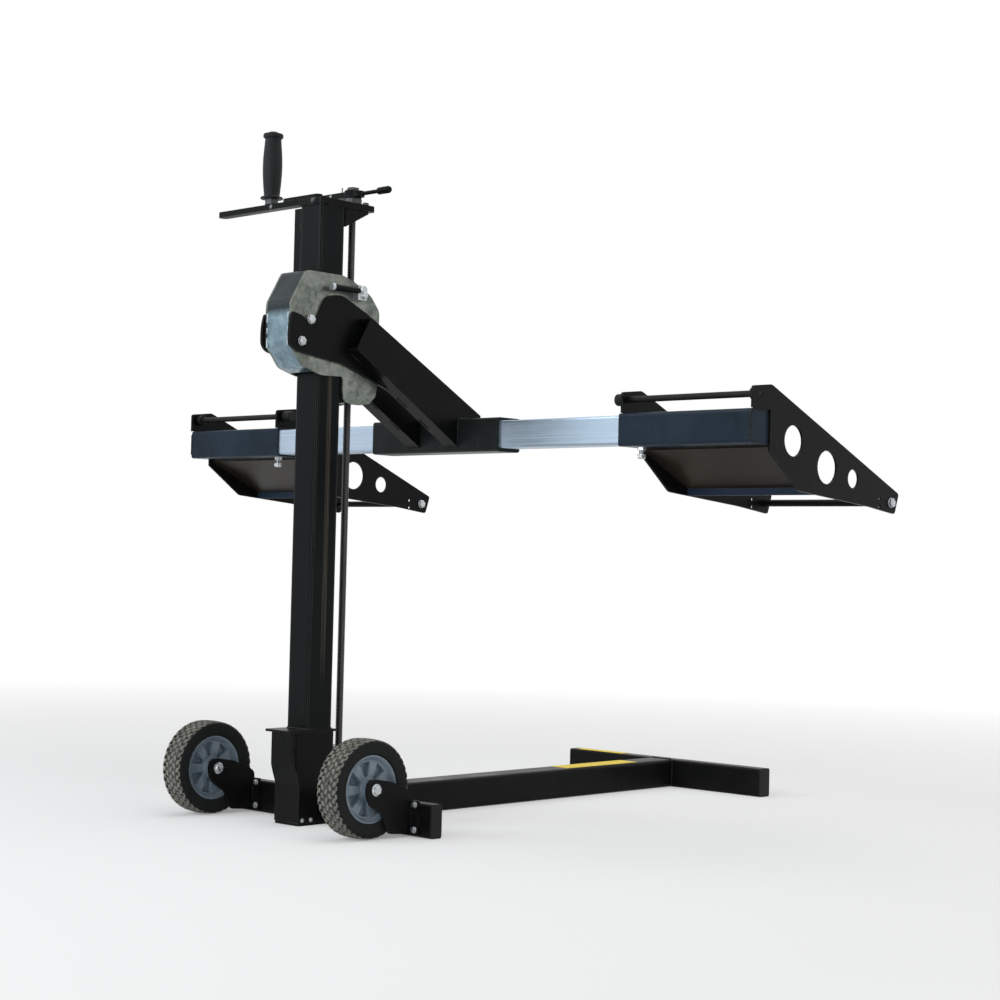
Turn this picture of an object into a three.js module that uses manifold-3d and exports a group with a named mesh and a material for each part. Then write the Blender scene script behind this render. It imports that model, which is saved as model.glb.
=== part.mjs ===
// A screw-driven lawn mower lift: a mast on a wheeled base, a carriage that a crank
// and lead screw raise, and two wheel pans that slide on a span bar.
// Millimetres, +Z up. The origin is on the floor under the mast's centre.
// +X runs along the span bar, +Y from the mast towards the mower.
import * as THREE from "three";
import { mergeVertices } from "three/addons/utils/BufferGeometryUtils.js";
import Module from "manifold-3d";

const wasm = await Module();
wasm.setup();

// Fits
const gap = 0.3; // between pieces that bear on each other
const runningGap = 0.5; // round a turning shaft
const overrun = 4; // how far a cutter passes a face

// Mast and base
const mast = { side: 70, wall: 4.8, corner: 9, top: 1325 };
const socket = { width: 78, front: 39, rear: 75, neckRear: 58, height: 190, corner: 8 };
const basePlate = { thickness: 6, corner: 5 };
const well = { side: 71.4, rear: 53 };
const collar = { width: 84, front: 42, rear: 89, thickness: 5, corner: 6 };
const leg = { side: 70, wall: 4.8, corner: 8, reach: 1210 };
const foot = { height: 70, depth: 38.1, wall: 3.2, corner: 6, span: 620 };
const rearTube = { height: 70, depth: 30, wall: 3.2, corner: 6, reach: 344, rearFace: 30.5 };
const cap = { rim: 3, plug: 12, fit: 0.4 };
const stopBar = { thickness: 22, width: 60, topDrop: 4 };

// Wheels
const wheel = { radius: 101.6, width: 62, centreX: 252, centreY: -73 };
const tyre = { seatRadius: 70, shoulder: 14, crown: 4 };
const rim = { width: 50, hubRadius: 21, web: 6, lip: 5, spokes: 7, spokeWidth: 14, spokeDepth: 34 };
const axle = { radius: 6.35, headRadius: 11, headHeight: 7 };
const fork = { plate: 5, clear: 3, nose: 25, corner: 8 };
const flange = { width: 22, low: 5, high: 75, bridge: 36 };

// Lead screw and crank
const screw = { radius: 7.9, offset: 86, foot: 152 };
const topPlate = { thickness: 13, width: 78, back: 39, front: 118, corner: 6 };
const gusset = { thickness: 8, drop: 42, reach: 66 };
const topBearing = { radius: 20, height: 15 };
const footBearing = { width: 44, height: 18, corner: 5 };
const crank = { back: 457, front: 32, width: 25, thickness: 13, hubRadius: 19, hubDrop: 3 };
const crankRod = { reach: 119, radius: 4.5, tipRadius: 8, tipLength: 38 };
const doubler = { from: 228, to: 105, thickness: 8 };
const crankNut = { radius: 14, height: 9 };
const grip = { x: 275, length: 150, base: 18, belly: 22.5, top: 19, flange: 23, washer: 26, washerHeight: 4 };
const gripStud = { radius: 6, collarRadius: 15, collarHeight: 13, headRadius: 10, headHeight: 4 };

// Carriage
const sidePlate = { thickness: 5, clear: 1, top: 1176, bottom: 900, rear: 118, lobe: 50, corner: 8 };
const drive = { radius: 24, height: 55, base: 905, earWidth: 26, earHeight: 24 };
const web = { thickness: 5, front: 50 };
const rearRoller = { radius: 24, height: 1130 };
const frontRoller = { radius: 18, height: 985 };
const rollerPin = { radius: 6, sideGap: 2 };
const pivotBolt = { y: -92, z: 1023, radius: 6, headRadius: 10, headHeight: 7 };
const hookBolt = { y: -68, z: 1071, radius: 6, headRadius: 10, headHeight: 7 };
const hook = { thickness: 6, rear: 126, low: 1002, shoulder: 1084, peakY: -10, peak: 1133, notch: 14, rise: 20 };
const hookBelly = { y: 33, z: 983, join: 148 };
const arm = {
  depth: 82, taper: 0.05, width: 33, wall: 4.8, slopeDeg: 28.6, rearY: 77, rearZ: 1087.4, lap: 4,
};
const lockRod = { x: 60, z: 1145, radius: 7, from: -16, to: 54, headRadius: 9, headHeight: 7 };
const lug = { length: 26, drop: 20, rise: 12 };

// Span bar and wheel pans
const bar = { side: 61.5, wall: 4.8, corner: 5, reach: 700, centreY: 389, centreZ: 850, fit: 0.4 };
const centreSleeve = { wall: 6.9, reach: 200, corner: 8 };
const panSleeve = { wall: 3.8, corner: 7, lap: 152, overhang: 188 };
const panPlate = { thickness: 5, inset: 5, lap: 10, drop: 15, corner: 6 };
const panProfile = { tipY: 893, tipZ: 735, earTop: 936, earDrop: 7 };
const hole = { rear: 32, middle: 35, front: 20, pin: 4.5 };
const ramp = { thickness: 5, fall: 76, run: 156, lip: 18 };
const tipRod = { radius: 8, setBack: 32, drop: 20, headRadius: 11, headHeight: 8 };
const stopRod = { radius: 7, setIn: 25, lift: 30, endRadius: 13, endLength: 30 };
const lockBolt = { radius: 6, inset: 36, drop: 16, headRadius: 10, headHeight: 9 };

const roundSides = 16;
const holeSides = 24;
const wheelSides = 36;

// Sizes that follow from the ones above
const halfMast = mast.side / 2;
const footing = basePlate.thickness + gap;
const socketTop = footing + socket.height;
const collarTop = socketTop + gap + collar.thickness;
const sideFace = socket.width / 2 + gap;
const socketFace = socket.front + gap;
const panInner = bar.reach - panSleeve.lap;
const panOuter = bar.reach + panSleeve.overhang;
const plateInner = halfMast + sidePlate.clear;
const plateOuter = plateInner + sidePlate.thickness;
const hookInner = plateOuter + gap;
const hookOuter = hookInner + hook.thickness;
const armInner = hookOuter + gap;
const armOuter = hookOuter + arm.width;
const slope = THREE.MathUtils.degToRad(arm.slopeDeg);
const rearRollerY = -halfMast - gap - rearRoller.radius;
const frontRollerY = halfMast + gap + frontRoller.radius;
const panSide = bar.side + 2 * (bar.fit + panSleeve.wall);
const centreSide = bar.side + 2 * (bar.fit + centreSleeve.wall);
const bracketLow = mast.top + gap;
const bracketTop = bracketLow + topPlate.thickness;
const bearingTop = bracketTop + gap + topBearing.height;
const crankLow = bearingTop + gap + crank.hubDrop;
const crankTop = crankLow + crank.thickness;

// Materials, one for each finish
const paint = (color, roughness, metalness) =>
  new THREE.MeshStandardMaterial({ color, roughness, metalness });
const finishes = {
  blackPaint: paint(0x14161a, 0.45, 0.2),
  zinc: paint(0xa7b0b4, 0.35, 0.9),
  barSteel: paint(0xb9c2cc, 0.3, 0.9),
  darkSteel: paint(0x3a3c40, 0.4, 0.8),
  bolt: paint(0xcdd2d4, 0.25, 1),
  rubber: paint(0x1c1c1b, 0.85, 0),
  rimPlastic: paint(0x6d7580, 0.55, 0),
  gripPlastic: paint(0x17181a, 0.6, 0),
  capPlastic: paint(0x191a1c, 0.6, 0),
  rollerPlastic: paint(0x202124, 0.5, 0),
};

const lift = new THREE.Group();

// Solids and meshes

function toSolid(geometry) {
  const bare = geometry.clone();
  bare.deleteAttribute("normal");
  bare.deleteAttribute("uv");
  const merged = mergeVertices(bare, 1e-4);
  const vertProperties = new Float32Array(merged.attributes.position.array);
  const triVerts = new Uint32Array(merged.index.array);
  return new wasm.Manifold(new wasm.Mesh({ numProp: 3, vertProperties, triVerts }));
}

function toGeometry(solid) {
  const mesh = solid.getMesh();
  const geometry = new THREE.BufferGeometry();
  geometry.setAttribute("position", new THREE.BufferAttribute(mesh.vertProperties, 3));
  geometry.setIndex(new THREE.BufferAttribute(mesh.triVerts, 1));
  geometry.computeVertexNormals();
  return geometry;
}

function addPiece(name, solid, finish) {
  const mesh = new THREE.Mesh(toGeometry(solid), finishes[finish].clone());
  mesh.name = name;
  lift.add(mesh);
}

// A shape's two coordinates are the two axes that follow the one it is extruded along:
// (y, z) along x, (z, x) along y and (x, y) along z.
const turns = {
  x: new THREE.Matrix4().set(0, 0, 1, 0, 1, 0, 0, 0, 0, 1, 0, 0, 0, 0, 0, 1),
  y: new THREE.Matrix4().set(0, 1, 0, 0, 0, 0, 1, 0, 1, 0, 0, 0, 0, 0, 0, 1),
  z: new THREE.Matrix4(),
};

function prism(shape, axis, from, to, curveSegments = 3) {
  const geometry = new THREE.ExtrudeGeometry(shape, {
    depth: to - from,
    bevelEnabled: false,
    curveSegments,
  });
  geometry.translate(0, 0, from).applyMatrix4(turns[axis]);
  return toSolid(geometry);
}

function block(x0, x1, y0, y1, z0, z1) {
  const geometry = new THREE.BoxGeometry(x1 - x0, y1 - y0, z1 - z0);
  geometry.translate((x0 + x1) / 2, (y0 + y1) / 2, (z0 + z1) / 2);
  return toSolid(geometry);
}

// A rod of any number of sides along an axis; a and b are its place on the other two axes.
function rod(axis, a, b, from, to, radius, sides = roundSides) {
  const circle = new THREE.Shape();
  for (let i = 0; i < sides; i++) {
    const angle = (2 * Math.PI * i) / sides;
    const x = a + radius * Math.cos(angle);
    const y = b + radius * Math.sin(angle);
    i ? circle.lineTo(x, y) : circle.moveTo(x, y);
  }
  circle.closePath();
  return prism(circle, axis, from, to);
}

// A turned piece: profile holds [radius, height] pairs that close on themselves, outside going up.
function turned(profile, axis, a, b, sides = roundSides) {
  const points = profile.map(([radius, height]) => new THREE.Vector2(radius, height));
  const geometry = new THREE.LatheGeometry(points, sides);
  geometry.rotateX(Math.PI / 2).translate(a, b, 0).applyMatrix4(turns[axis]);
  return toSolid(geometry);
}

// A closed outline whose corners are rounded; each point may carry its own radius.
function outline(points, radius) {
  const shape = new THREE.Shape();
  const count = points.length;
  points.forEach(([x, y, own = radius], i) => {
    const [px, py] = points[(i + count - 1) % count];
    const [nx, ny] = points[(i + 1) % count];
    const before = Math.hypot(px - x, py - y);
    const after = Math.hypot(nx - x, ny - y);
    const cut = Math.min(own, before / 2, after / 2);
    const start = [x + ((px - x) * cut) / before, y + ((py - y) * cut) / before];
    const end = [x + ((nx - x) * cut) / after, y + ((ny - y) * cut) / after];
    i ? shape.lineTo(...start) : shape.moveTo(...start);
    shape.quadraticCurveTo(x, y, ...end);
  });
  shape.closePath();
  return shape;
}

function roundedBox(a, b, width, height, radius) {
  const w = width / 2;
  const h = height / 2;
  return outline([[a - w, b - h], [a + w, b - h], [a + w, b + h], [a - w, b + h]], radius);
}

function boxTube(axis, a, b, width, height, wall, corner, from, to) {
  const outer = prism(roundedBox(a, b, width, height, corner), axis, from, to);
  const innerCorner = Math.max(corner - wall, wall / 4);
  const bore = roundedBox(a, b, width - 2 * wall, height - 2 * wall, innerCorner);
  return outer.subtract(prism(bore, axis, from - overrun, to + overrun));
}

// A bolt along an axis with a six-sided head at each end that is asked for.
function bolt(axis, a, b, from, to, size, heads) {
  let solid = rod(axis, a, b, from, to, size.radius);
  if (heads.low) {
    solid = solid.add(rod(axis, a, b, from - size.headHeight, from, size.headRadius, 6));
  }
  if (heads.high) {
    solid = solid.add(rod(axis, a, b, to, to + size.headHeight, size.headRadius, 6));
  }
  return solid;
}

const sides = [["left", -1], ["right", 1]];

// The lower and higher of two places on the X axis, given for the right-hand side
const span = (hand, a, b) => (hand > 0 ? [a, b] : [-b, -a]);

function makeMast() {
  const { side, wall, corner, top } = mast;
  addPiece("mast_tube", boxTube("z", 0, 0, side, side, wall, corner, footing, top), "blackPaint");
  // The carriage's left plate meets this bar at the top of its travel
  const face = -halfMast - gap;
  const half = stopBar.width / 2;
  const stop = block(face - stopBar.thickness, face, -half, half, sidePlate.top + gap, top - stopBar.topDrop);
  addPiece("stop_bar", stop, "blackPaint");
}

// The socket's rear is deep at the top and drawn in to a neck at the base
const socketHeightShares = { neck: 0.42, shoulder: 0.68 };

function makeSocket() {
  const { width, front, rear, neckRear, height, corner } = socket;
  const neckZ = footing + height * socketHeightShares.neck;
  const shoulderZ = footing + height * socketHeightShares.shoulder;
  const sideOn = outline([
    [-neckRear, footing], [front, footing], [front, socketTop],
    [-rear, socketTop], [-rear, shoulderZ], [-neckRear, neckZ],
  ], 0);
  const middle = (front - rear) / 2;
  const wellFront = well.side / 2;
  const hollow = roundedBox(0, (wellFront - well.rear) / 2, well.side, wellFront + well.rear, mast.corner);
  const shell = prism(sideOn, "x", -width, width)
    .intersect(prism(roundedBox(0, middle, width, front + rear, corner), "z", 0, socketTop + overrun))
    .subtract(prism(hollow, "z", -overrun, socketTop + overrun));
  addPiece("base_socket", shell, "blackPaint");

  const seat = mast.side + 2 * gap;
  const collarMiddle = (collar.front - collar.rear) / 2;
  const rimShape = roundedBox(0, collarMiddle, collar.width, collar.front + collar.rear, collar.corner);
  const ring = prism(rimShape, "z", socketTop + gap, collarTop)
    .subtract(prism(roundedBox(0, 0, seat, seat, mast.corner), "z", socketTop, collarTop + overrun));
  addPiece("socket_collar", ring, "blackPaint");
  const footprint = roundedBox(0, (front - neckRear) / 2, width, front + neckRear, basePlate.corner);
  addPiece("base_plate", prism(footprint, "z", 0, basePlate.thickness), "blackPaint");
}

function makeBaseTubes() {
  const { side } = leg;
  const legTube = boxTube("y", side / 2, 0, side, side, leg.wall, leg.corner, socketFace, leg.reach);
  addPiece("base_leg", legTube, "blackPaint");
  const footY = leg.reach + gap + foot.depth / 2;
  const half = foot.span / 2;
  const footTube = boxTube(
    "x", footY, foot.height / 2, foot.depth, foot.height, foot.wall, foot.corner, -half, half);
  addPiece("front_foot", footTube, "blackPaint");
  const rearY = rearTube.rearFace + rearTube.depth / 2;
  for (const [name, hand] of sides) {
    addPiece("foot_cap_" + name, makeCap(foot, hand, half, footY), "capPlastic");
    const { depth, height, wall, corner, reach } = rearTube;
    const tube = boxTube("x", rearY, height / 2, depth, height, wall, corner, ...span(hand, sideFace, reach));
    addPiece("rear_tube_" + name, tube, "blackPaint");
    addPiece("rear_cap_" + name, makeCap(rearTube, hand, reach, rearY), "capPlastic");
  }
}

// A cap's rim covers the tube's end and its plug sits inside the bore
function makeCap(tube, hand, end, y) {
  const { depth, height, wall, corner } = tube;
  const z = height / 2;
  const inner = 2 * (wall + cap.fit);
  const start = end + gap;
  return prism(roundedBox(y, z, depth, height, corner), "x", ...span(hand, start, start + cap.rim))
    .add(prism(
      roundedBox(y, z, depth - inner, height - inner, wall), "x", ...span(hand, end - cap.plug, start)));
}

function makeWheel(name, hand) {
  const { radius, centreY: y } = wheel;
  const x = hand * wheel.centreX;
  const half = wheel.width / 2;
  const seat = rim.width / 2;
  const tyreProfile = [
    [tyre.seatRadius, x - seat],
    [radius - tyre.shoulder, x - half],
    [radius - tyre.crown, x - half + tyre.crown],
    [radius, x - half + tyre.shoulder],
    [radius, x + half - tyre.shoulder],
    [radius - tyre.crown, x + half - tyre.crown],
    [radius - tyre.shoulder, x + half],
    [tyre.seatRadius, x + seat],
    [tyre.seatRadius, x - seat],
  ];
  addPiece("wheel_tyre_" + name, turned(tyreProfile, "x", y, radius, wheelSides), "rubber");

  const outer = tyre.seatRadius - gap;
  const lip = outer - rim.lip;
  const bore = axle.radius + runningGap;
  const hubHalf = half + fork.clear - runningGap;
  const webHalf = rim.web / 2;
  const rimProfile = [
    [bore, x - hubHalf],
    [rim.hubRadius, x - hubHalf],
    [rim.hubRadius, x - webHalf],
    [lip, x - webHalf],
    [lip, x - seat],
    [outer, x - seat],
    [outer, x + seat],
    [lip, x + seat],
    [lip, x + webHalf],
    [rim.hubRadius, x + webHalf],
    [rim.hubRadius, x + hubHalf],
    [bore, x + hubHalf],
    [bore, x - hubHalf],
  ];
  let disc = turned(rimProfile, "x", y, radius, wheelSides);
  const ribLength = lip - rim.hubRadius + rim.lip;
  for (let i = 0; i < rim.spokes; i++) {
    const rib = new THREE.BoxGeometry(rim.spokeDepth, ribLength, rim.spokeWidth);
    rib.translate(0, (lip + rim.hubRadius) / 2, 0).rotateX((2 * Math.PI * i) / rim.spokes);
    disc = disc.add(toSolid(rib.translate(x, y, radius)));
  }
  addPiece("wheel_rim_" + name, disc, "rimPlastic");
}

// The fork plates' outline: Y as shares of the axle's distance from the rear tube, Z of the wheel's radius
const forkShares = [
  [-0.25, 0.75, 1], [-0.25, 1.25, 1], [0.42, 1.14], [0.8, 1], [1, 0.87], [1, 0.05], [0.36, 0.1], [0.18, 0.5],
];

function makeFork(name, hand) {
  const x = hand * wheel.centreX;
  const y = wheel.centreY;
  const z = wheel.radius;
  const inside = wheel.width / 2 + fork.clear;
  const outside = inside + fork.plate;
  const face = rearTube.rearFace - gap;
  const length = face - y;
  const points = forkShares.map(([along, up, nose]) => [
    y + length * along,
    z * up,
    nose ? fork.nose : fork.corner,
  ]);
  const flangeBack = face - fork.plate;
  const across = outside + flange.width;
  const bore = rod("x", y, z, x - outside - overrun, x + outside + overrun, axle.radius + gap);
  const wheelSpace = block(x - inside, x + inside, y - 2 * z, face + overrun, -overrun, 2 * z);
  const solid = prism(outline(points, fork.corner), "x", x - outside, x + outside)
    .subtract(wheelSpace)
    .add(block(x - across, x - inside, flangeBack, face, flange.low, flange.high))
    .add(block(x + inside, x + across, flangeBack, face, flange.low, flange.high))
    .add(block(x - outside, x + outside, flangeBack, face, flange.low, flange.bridge))
    .subtract(bore);
  addPiece("wheel_fork_" + name, solid, "blackPaint");
  const reach = outside + gap;
  const pin = bolt("x", y, z, x - reach, x + reach, axle, { low: true, high: true });
  addPiece("wheel_axle_" + name, pin, "bolt");
}

function makeTopBracket() {
  const { width, back, front, corner } = topPlate;
  const middle = (front - back) / 2;
  const wall = halfMast + gap;
  const tip = wall + gusset.reach;
  const cheek = outline([
    [wall, bracketLow - gusset.drop],
    [wall, bracketTop - corner],
    [tip, bracketTop - corner],
    [tip, bracketLow - corner],
  ], 1);
  let bracket = prism(roundedBox(0, middle, width, front + back, corner), "z", bracketLow, bracketTop);
  for (const [, hand] of sides) {
    bracket = bracket.add(prism(cheek, "x", ...span(hand, halfMast - gusset.thickness, halfMast)));
  }
  const hole = screw.radius + runningGap;
  bracket = bracket.subtract(rod("z", 0, screw.offset, bracketLow - overrun, bracketTop + overrun, hole));
  addPiece("top_bracket", bracket, "blackPaint");
  const bearing = rod("z", 0, screw.offset, bracketTop + gap, bearingTop, topBearing.radius)
    .subtract(rod("z", 0, screw.offset, bracketTop - overrun, bearingTop + overrun, hole));
  addPiece("top_bearing", bearing, "darkSteel");
}

function makeFootBearing() {
  const back = socketFace;
  const front = screw.offset + footBearing.width / 2;
  const high = screw.foot + footBearing.height / 2;
  const shape = roundedBox(0, (back + front) / 2, footBearing.width, front - back, footBearing.corner);
  const cup = rod("z", 0, screw.offset, screw.foot - gap, high + overrun, screw.radius + runningGap);
  const bearing = prism(shape, "z", high - footBearing.height, high).subtract(cup);
  addPiece("screw_foot_bearing", bearing, "zinc");
}

function makeCrank() {
  const y = screw.offset;
  const { back, front, width, hubRadius } = crank;
  const half = width / 2;
  addPiece("lead_screw", rod("z", 0, y, screw.foot, crankTop + gap, screw.radius), "darkSteel");

  const barShape = roundedBox((front - back) / 2, y, front + back, width, half);
  const raised = outline([
    [-doubler.from, y - half],
    [-doubler.to, y - half],
    [-doubler.to, y + half],
    [-doubler.from, y + half],
  ], half / 2);
  const rodZ = (crankLow + crankTop) / 2;
  const { reach, radius, tipRadius, tipLength } = crankRod;
  const screwBore = rod("z", 0, y, bearingTop, crankTop + overrun, screw.radius + gap);
  const studBore = rod("z", -grip.x, y, crankLow - overrun, crankTop + overrun, gripStud.radius + gap);
  const arm = prism(barShape, "z", crankLow, crankTop)
    .add(rod("z", 0, y, bearingTop + gap, crankLow + overrun, hubRadius))
    .add(prism(raised, "z", crankTop - overrun, crankTop + doubler.thickness))
    .add(rod("x", y, rodZ, front - half, reach, radius))
    .add(rod("x", y, rodZ, reach - tipLength, reach, tipRadius))
    .subtract(screwBore)
    .subtract(studBore);
  addPiece("crank_arm", arm, "blackPaint");
  const nutLow = crankTop + 2 * gap;
  addPiece("crank_nut", rod("z", 0, y, nutLow, nutLow + crankNut.height, crankNut.radius, 6), "bolt");
}

// The grip turns on a stud that stands in the crank arm on a short collar
function makeGrip() {
  const y = screw.offset;
  const x = -grip.x;
  const { length, base, belly, top, flange, washer, washerHeight } = grip;
  const seat = crankTop + gap + gripStud.collarHeight;
  const low = seat + gap;
  const high = low + length;
  const stud = rod("z", x, y, crankLow, high + gap, gripStud.radius)
    .add(rod("z", x, y, crankTop + gap, seat, gripStud.collarRadius))
    .add(rod("z", x, y, high + gap, high + gap + gripStud.headHeight, gripStud.headRadius));
  addPiece("grip_stud", stud, "bolt");
  const bore = gripStud.radius + runningGap;
  const profile = [
    [bore, low],
    [washer, low],
    [washer, low + washerHeight],
    [base, low + 2 * washerHeight],
    [(base + belly) / 2, low + length / 5],
    [belly, low + length / 2],
    [(top + belly) / 2, high - length / 4],
    [top, high - 3 * washerHeight],
    [flange, high - 2 * washerHeight],
    [flange, high],
    [bore, high],
    [bore, low],
  ];
  addPiece("crank_grip", turned(profile, "z", x, y), "gripPlastic");
}

// The carriage plates' outline, as shares of its depth and height; the lobe at the front foot
// of the outline carries the drive nut
const plateShares = [
  [0.16, 1], [0.577, 1], [0.7, 0.964], [0.895, 0.873], [1, 0.757], [1, 0, "lobe"], [0.597, 0, "lobe"],
  [0.597, 0.21], [0.347, 0.203], [0.145, 0.257], [0.069, 0.348], [0, 0.406], [0, 0.746], [0.03, 0.79],
];

function plateOutline(inset) {
  const { rear, top, bottom, corner, lobe } = sidePlate;
  const depth = rear + screw.offset + lobe - 2 * inset;
  const height = top - bottom - 2 * inset;
  return outline(plateShares.map(([across, up, mark]) => [
    inset - rear + depth * across,
    inset + bottom + height * up,
    mark ? lobe - inset : corner,
  ]), corner);
}

function makeCarriagePlates() {
  for (const [name, hand] of sides) {
    const [from, to] = span(hand, plateInner, plateOuter);
    const wide = [from - overrun, to + overrun];
    const plate = prism(plateOutline(0), "x", from, to)
      .subtract(rod("x", rearRollerY, rearRoller.height, ...wide, rollerPin.radius + gap))
      .subtract(rod("x", frontRollerY, frontRoller.height, ...wide, rollerPin.radius + gap))
      .subtract(rod("x", pivotBolt.y, pivotBolt.z, ...wide, pivotBolt.radius + gap))
      .subtract(rod("x", hookBolt.y, hookBolt.z, ...wide, hookBolt.radius + gap));
    addPiece("side_plate_" + name, plate, "zinc");
  }
  // The web closes the carriage behind the mast
  const half = plateInner - gap;
  const front = -web.front;
  const strip = prism(plateOutline(0), "x", -half, half)
    .subtract(prism(plateOutline(web.thickness), "x", -half - overrun, half + overrun))
    .subtract(block(-plateOuter, plateOuter, front, 2 * screw.offset, sidePlate.bottom - overrun,
      sidePlate.top + overrun))
    .decompose()
    .reduce((most, part) => (part.volume() > most.volume() ? part : most));
  addPiece("rear_web", strip, "zinc");
}

function makeDriveNut() {
  const { radius, height, base, earWidth, earHeight } = drive;
  const y = screw.offset;
  const half = plateInner - gap;
  const middle = base + height / 2;
  const ears = prism(roundedBox(y, middle, earWidth, earHeight, 0), "x", -half, half);
  const nut = rod("z", 0, y, base, base + height, radius)
    .add(ears)
    .subtract(rod("z", 0, y, base - overrun, base + height + overrun, screw.radius + gap));
  addPiece("drive_nut", nut, "zinc");
}

function makeRollers() {
  const half = plateInner - rollerPin.sideGap;
  const places = [["rear", rearRollerY, rearRoller], ["front", frontRollerY, frontRoller]];
  for (const [name, y, size] of places) {
    const bore = rod("x", y, size.height, -half - overrun, half + overrun, rollerPin.radius + runningGap);
    const body = rod("x", y, size.height, -half, half, size.radius, wheelSides).subtract(bore);
    addPiece(name + "_roller", body, "rollerPlastic");
    // The pins end flush with the plates, so that the hook plates pass over them
    const pin = rod("x", y, size.height, -plateOuter, plateOuter, rollerPin.radius);
    addPiece(name + "_roller_axle", pin, "bolt");
  }
}

// A place in the arm's side view: a distance along its top edge and one below it
function armPoint(along, below) {
  return [
    arm.rearY + along * Math.cos(slope) - below * Math.sin(slope),
    arm.rearZ - along * Math.sin(slope) - below * Math.cos(slope),
  ];
}

// The arm grows deeper towards the bar
const armDepth = (along) => arm.depth + arm.taper * along;

function makeArms() {
  const sleeveBack = bar.centreY - centreSide / 2 - gap;
  const sleeveFront = bar.centreY + centreSide / 2 - arm.lap;
  const length = 2 * (sleeveFront - arm.rearY);
  const wide = 2 * armOuter;
  const sleeveSpace = block(-wide, wide, sleeveBack, 2 * sleeveFront, 0, bar.centreZ + centreSide / 2 + gap);
  const beyond = block(-wide, wide, sleeveFront, sleeveFront + length, 0, arm.rearZ);
  const box = (start, end, inset) => outline([
    armPoint(start, inset),
    armPoint(end, inset),
    armPoint(end, armDepth(end) - inset),
    armPoint(start, armDepth(start) - inset),
  ], 0);

  const { notch } = hook;
  const corner = notch / 2;
  const hookShape = outline([
    [-hook.rear, hook.low + notch],
    [-hook.rear, hook.shoulder - 2 * notch],
    [-hook.rear + notch / 2, hook.shoulder, corner],
    [hookBolt.y - notch - corner, hook.shoulder - corner, corner],
    [hookBolt.y - notch / 2, hookBolt.z - corner, corner],
    [hookBolt.y + notch, hookBolt.z - corner, corner],
    [hook.peakY - notch, hook.peak - corner, notch],
    [hook.peakY + 2 * notch, hook.peak, notch],
    [...armPoint(arm.depth / 4, -hook.rise), notch],
    [...armPoint(arm.depth, 0), notch],
    [...armPoint(length, 0), 0],
    [...armPoint(length, armDepth(length)), 0],
    [...armPoint(hookBelly.join, armDepth(hookBelly.join)), notch],
    [hookBelly.y, hookBelly.z, notch],
    [-hook.rear + notch, hook.low, notch],
  ], notch);
  const pivotHole = rod("x", pivotBolt.y, pivotBolt.z, -wide, wide, pivotBolt.radius + gap);
  const hookHole = rod("x", hookBolt.y, hookBolt.z, -wide, wide, hookBolt.radius + gap);
  for (const [name, hand] of sides) {
    const plate = prism(hookShape, "x", ...span(hand, hookInner, hookOuter))
      .subtract(pivotHole)
      .subtract(hookHole)
      .subtract(sleeveSpace)
      .subtract(beyond);
    addPiece("hook_plate_" + name, plate, "blackPaint");
    const channel = prism(box(0, length, 0), "x", ...span(hand, armInner, armOuter))
      .subtract(prism(
        box(-arm.depth, 2 * length, arm.wall), "x", ...span(hand, hookInner, armOuter - arm.wall)))
      .subtract(sleeveSpace)
      .subtract(beyond);
    addPiece("arm_" + name, channel, "blackPaint");
  }
  const reach = hookOuter + gap;
  const ends = { low: true, high: true };
  addPiece("arm_pivot_bolt", bolt("x", pivotBolt.y, pivotBolt.z, -reach, reach, pivotBolt, ends), "bolt");
  addPiece("arm_hook_bolt", bolt("x", hookBolt.y, hookBolt.z, -reach, reach, hookBolt, ends), "bolt");
}

// The pin that keeps the arm hooked on lies in a lug on the carriage's right plate
function makeRetainingPin() {
  const { x, z, radius, from, to } = lockRod;
  const seat = block(plateOuter + gap, x + radius, to - overrun, to + lug.length, z - lug.drop, z + lug.rise);
  const pin = bolt("y", z, x, from, to, lockRod, { low: true });
  addPiece("retaining_pin", pin.add(seat), "bolt");
}

function makeSpan() {
  const { side, wall, corner, reach, centreY: y, centreZ: z } = bar;
  addPiece("inner_tube", boxTube("x", y, z, side, side, wall, corner, -reach, reach), "barSteel");
  const half = centreSleeve.reach;
  const sleeve = boxTube(
    "x", y, z, centreSide, centreSide, centreSleeve.wall, centreSleeve.corner, -half, half);
  addPiece("centre_sleeve", sleeve, "blackPaint");
}

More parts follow.
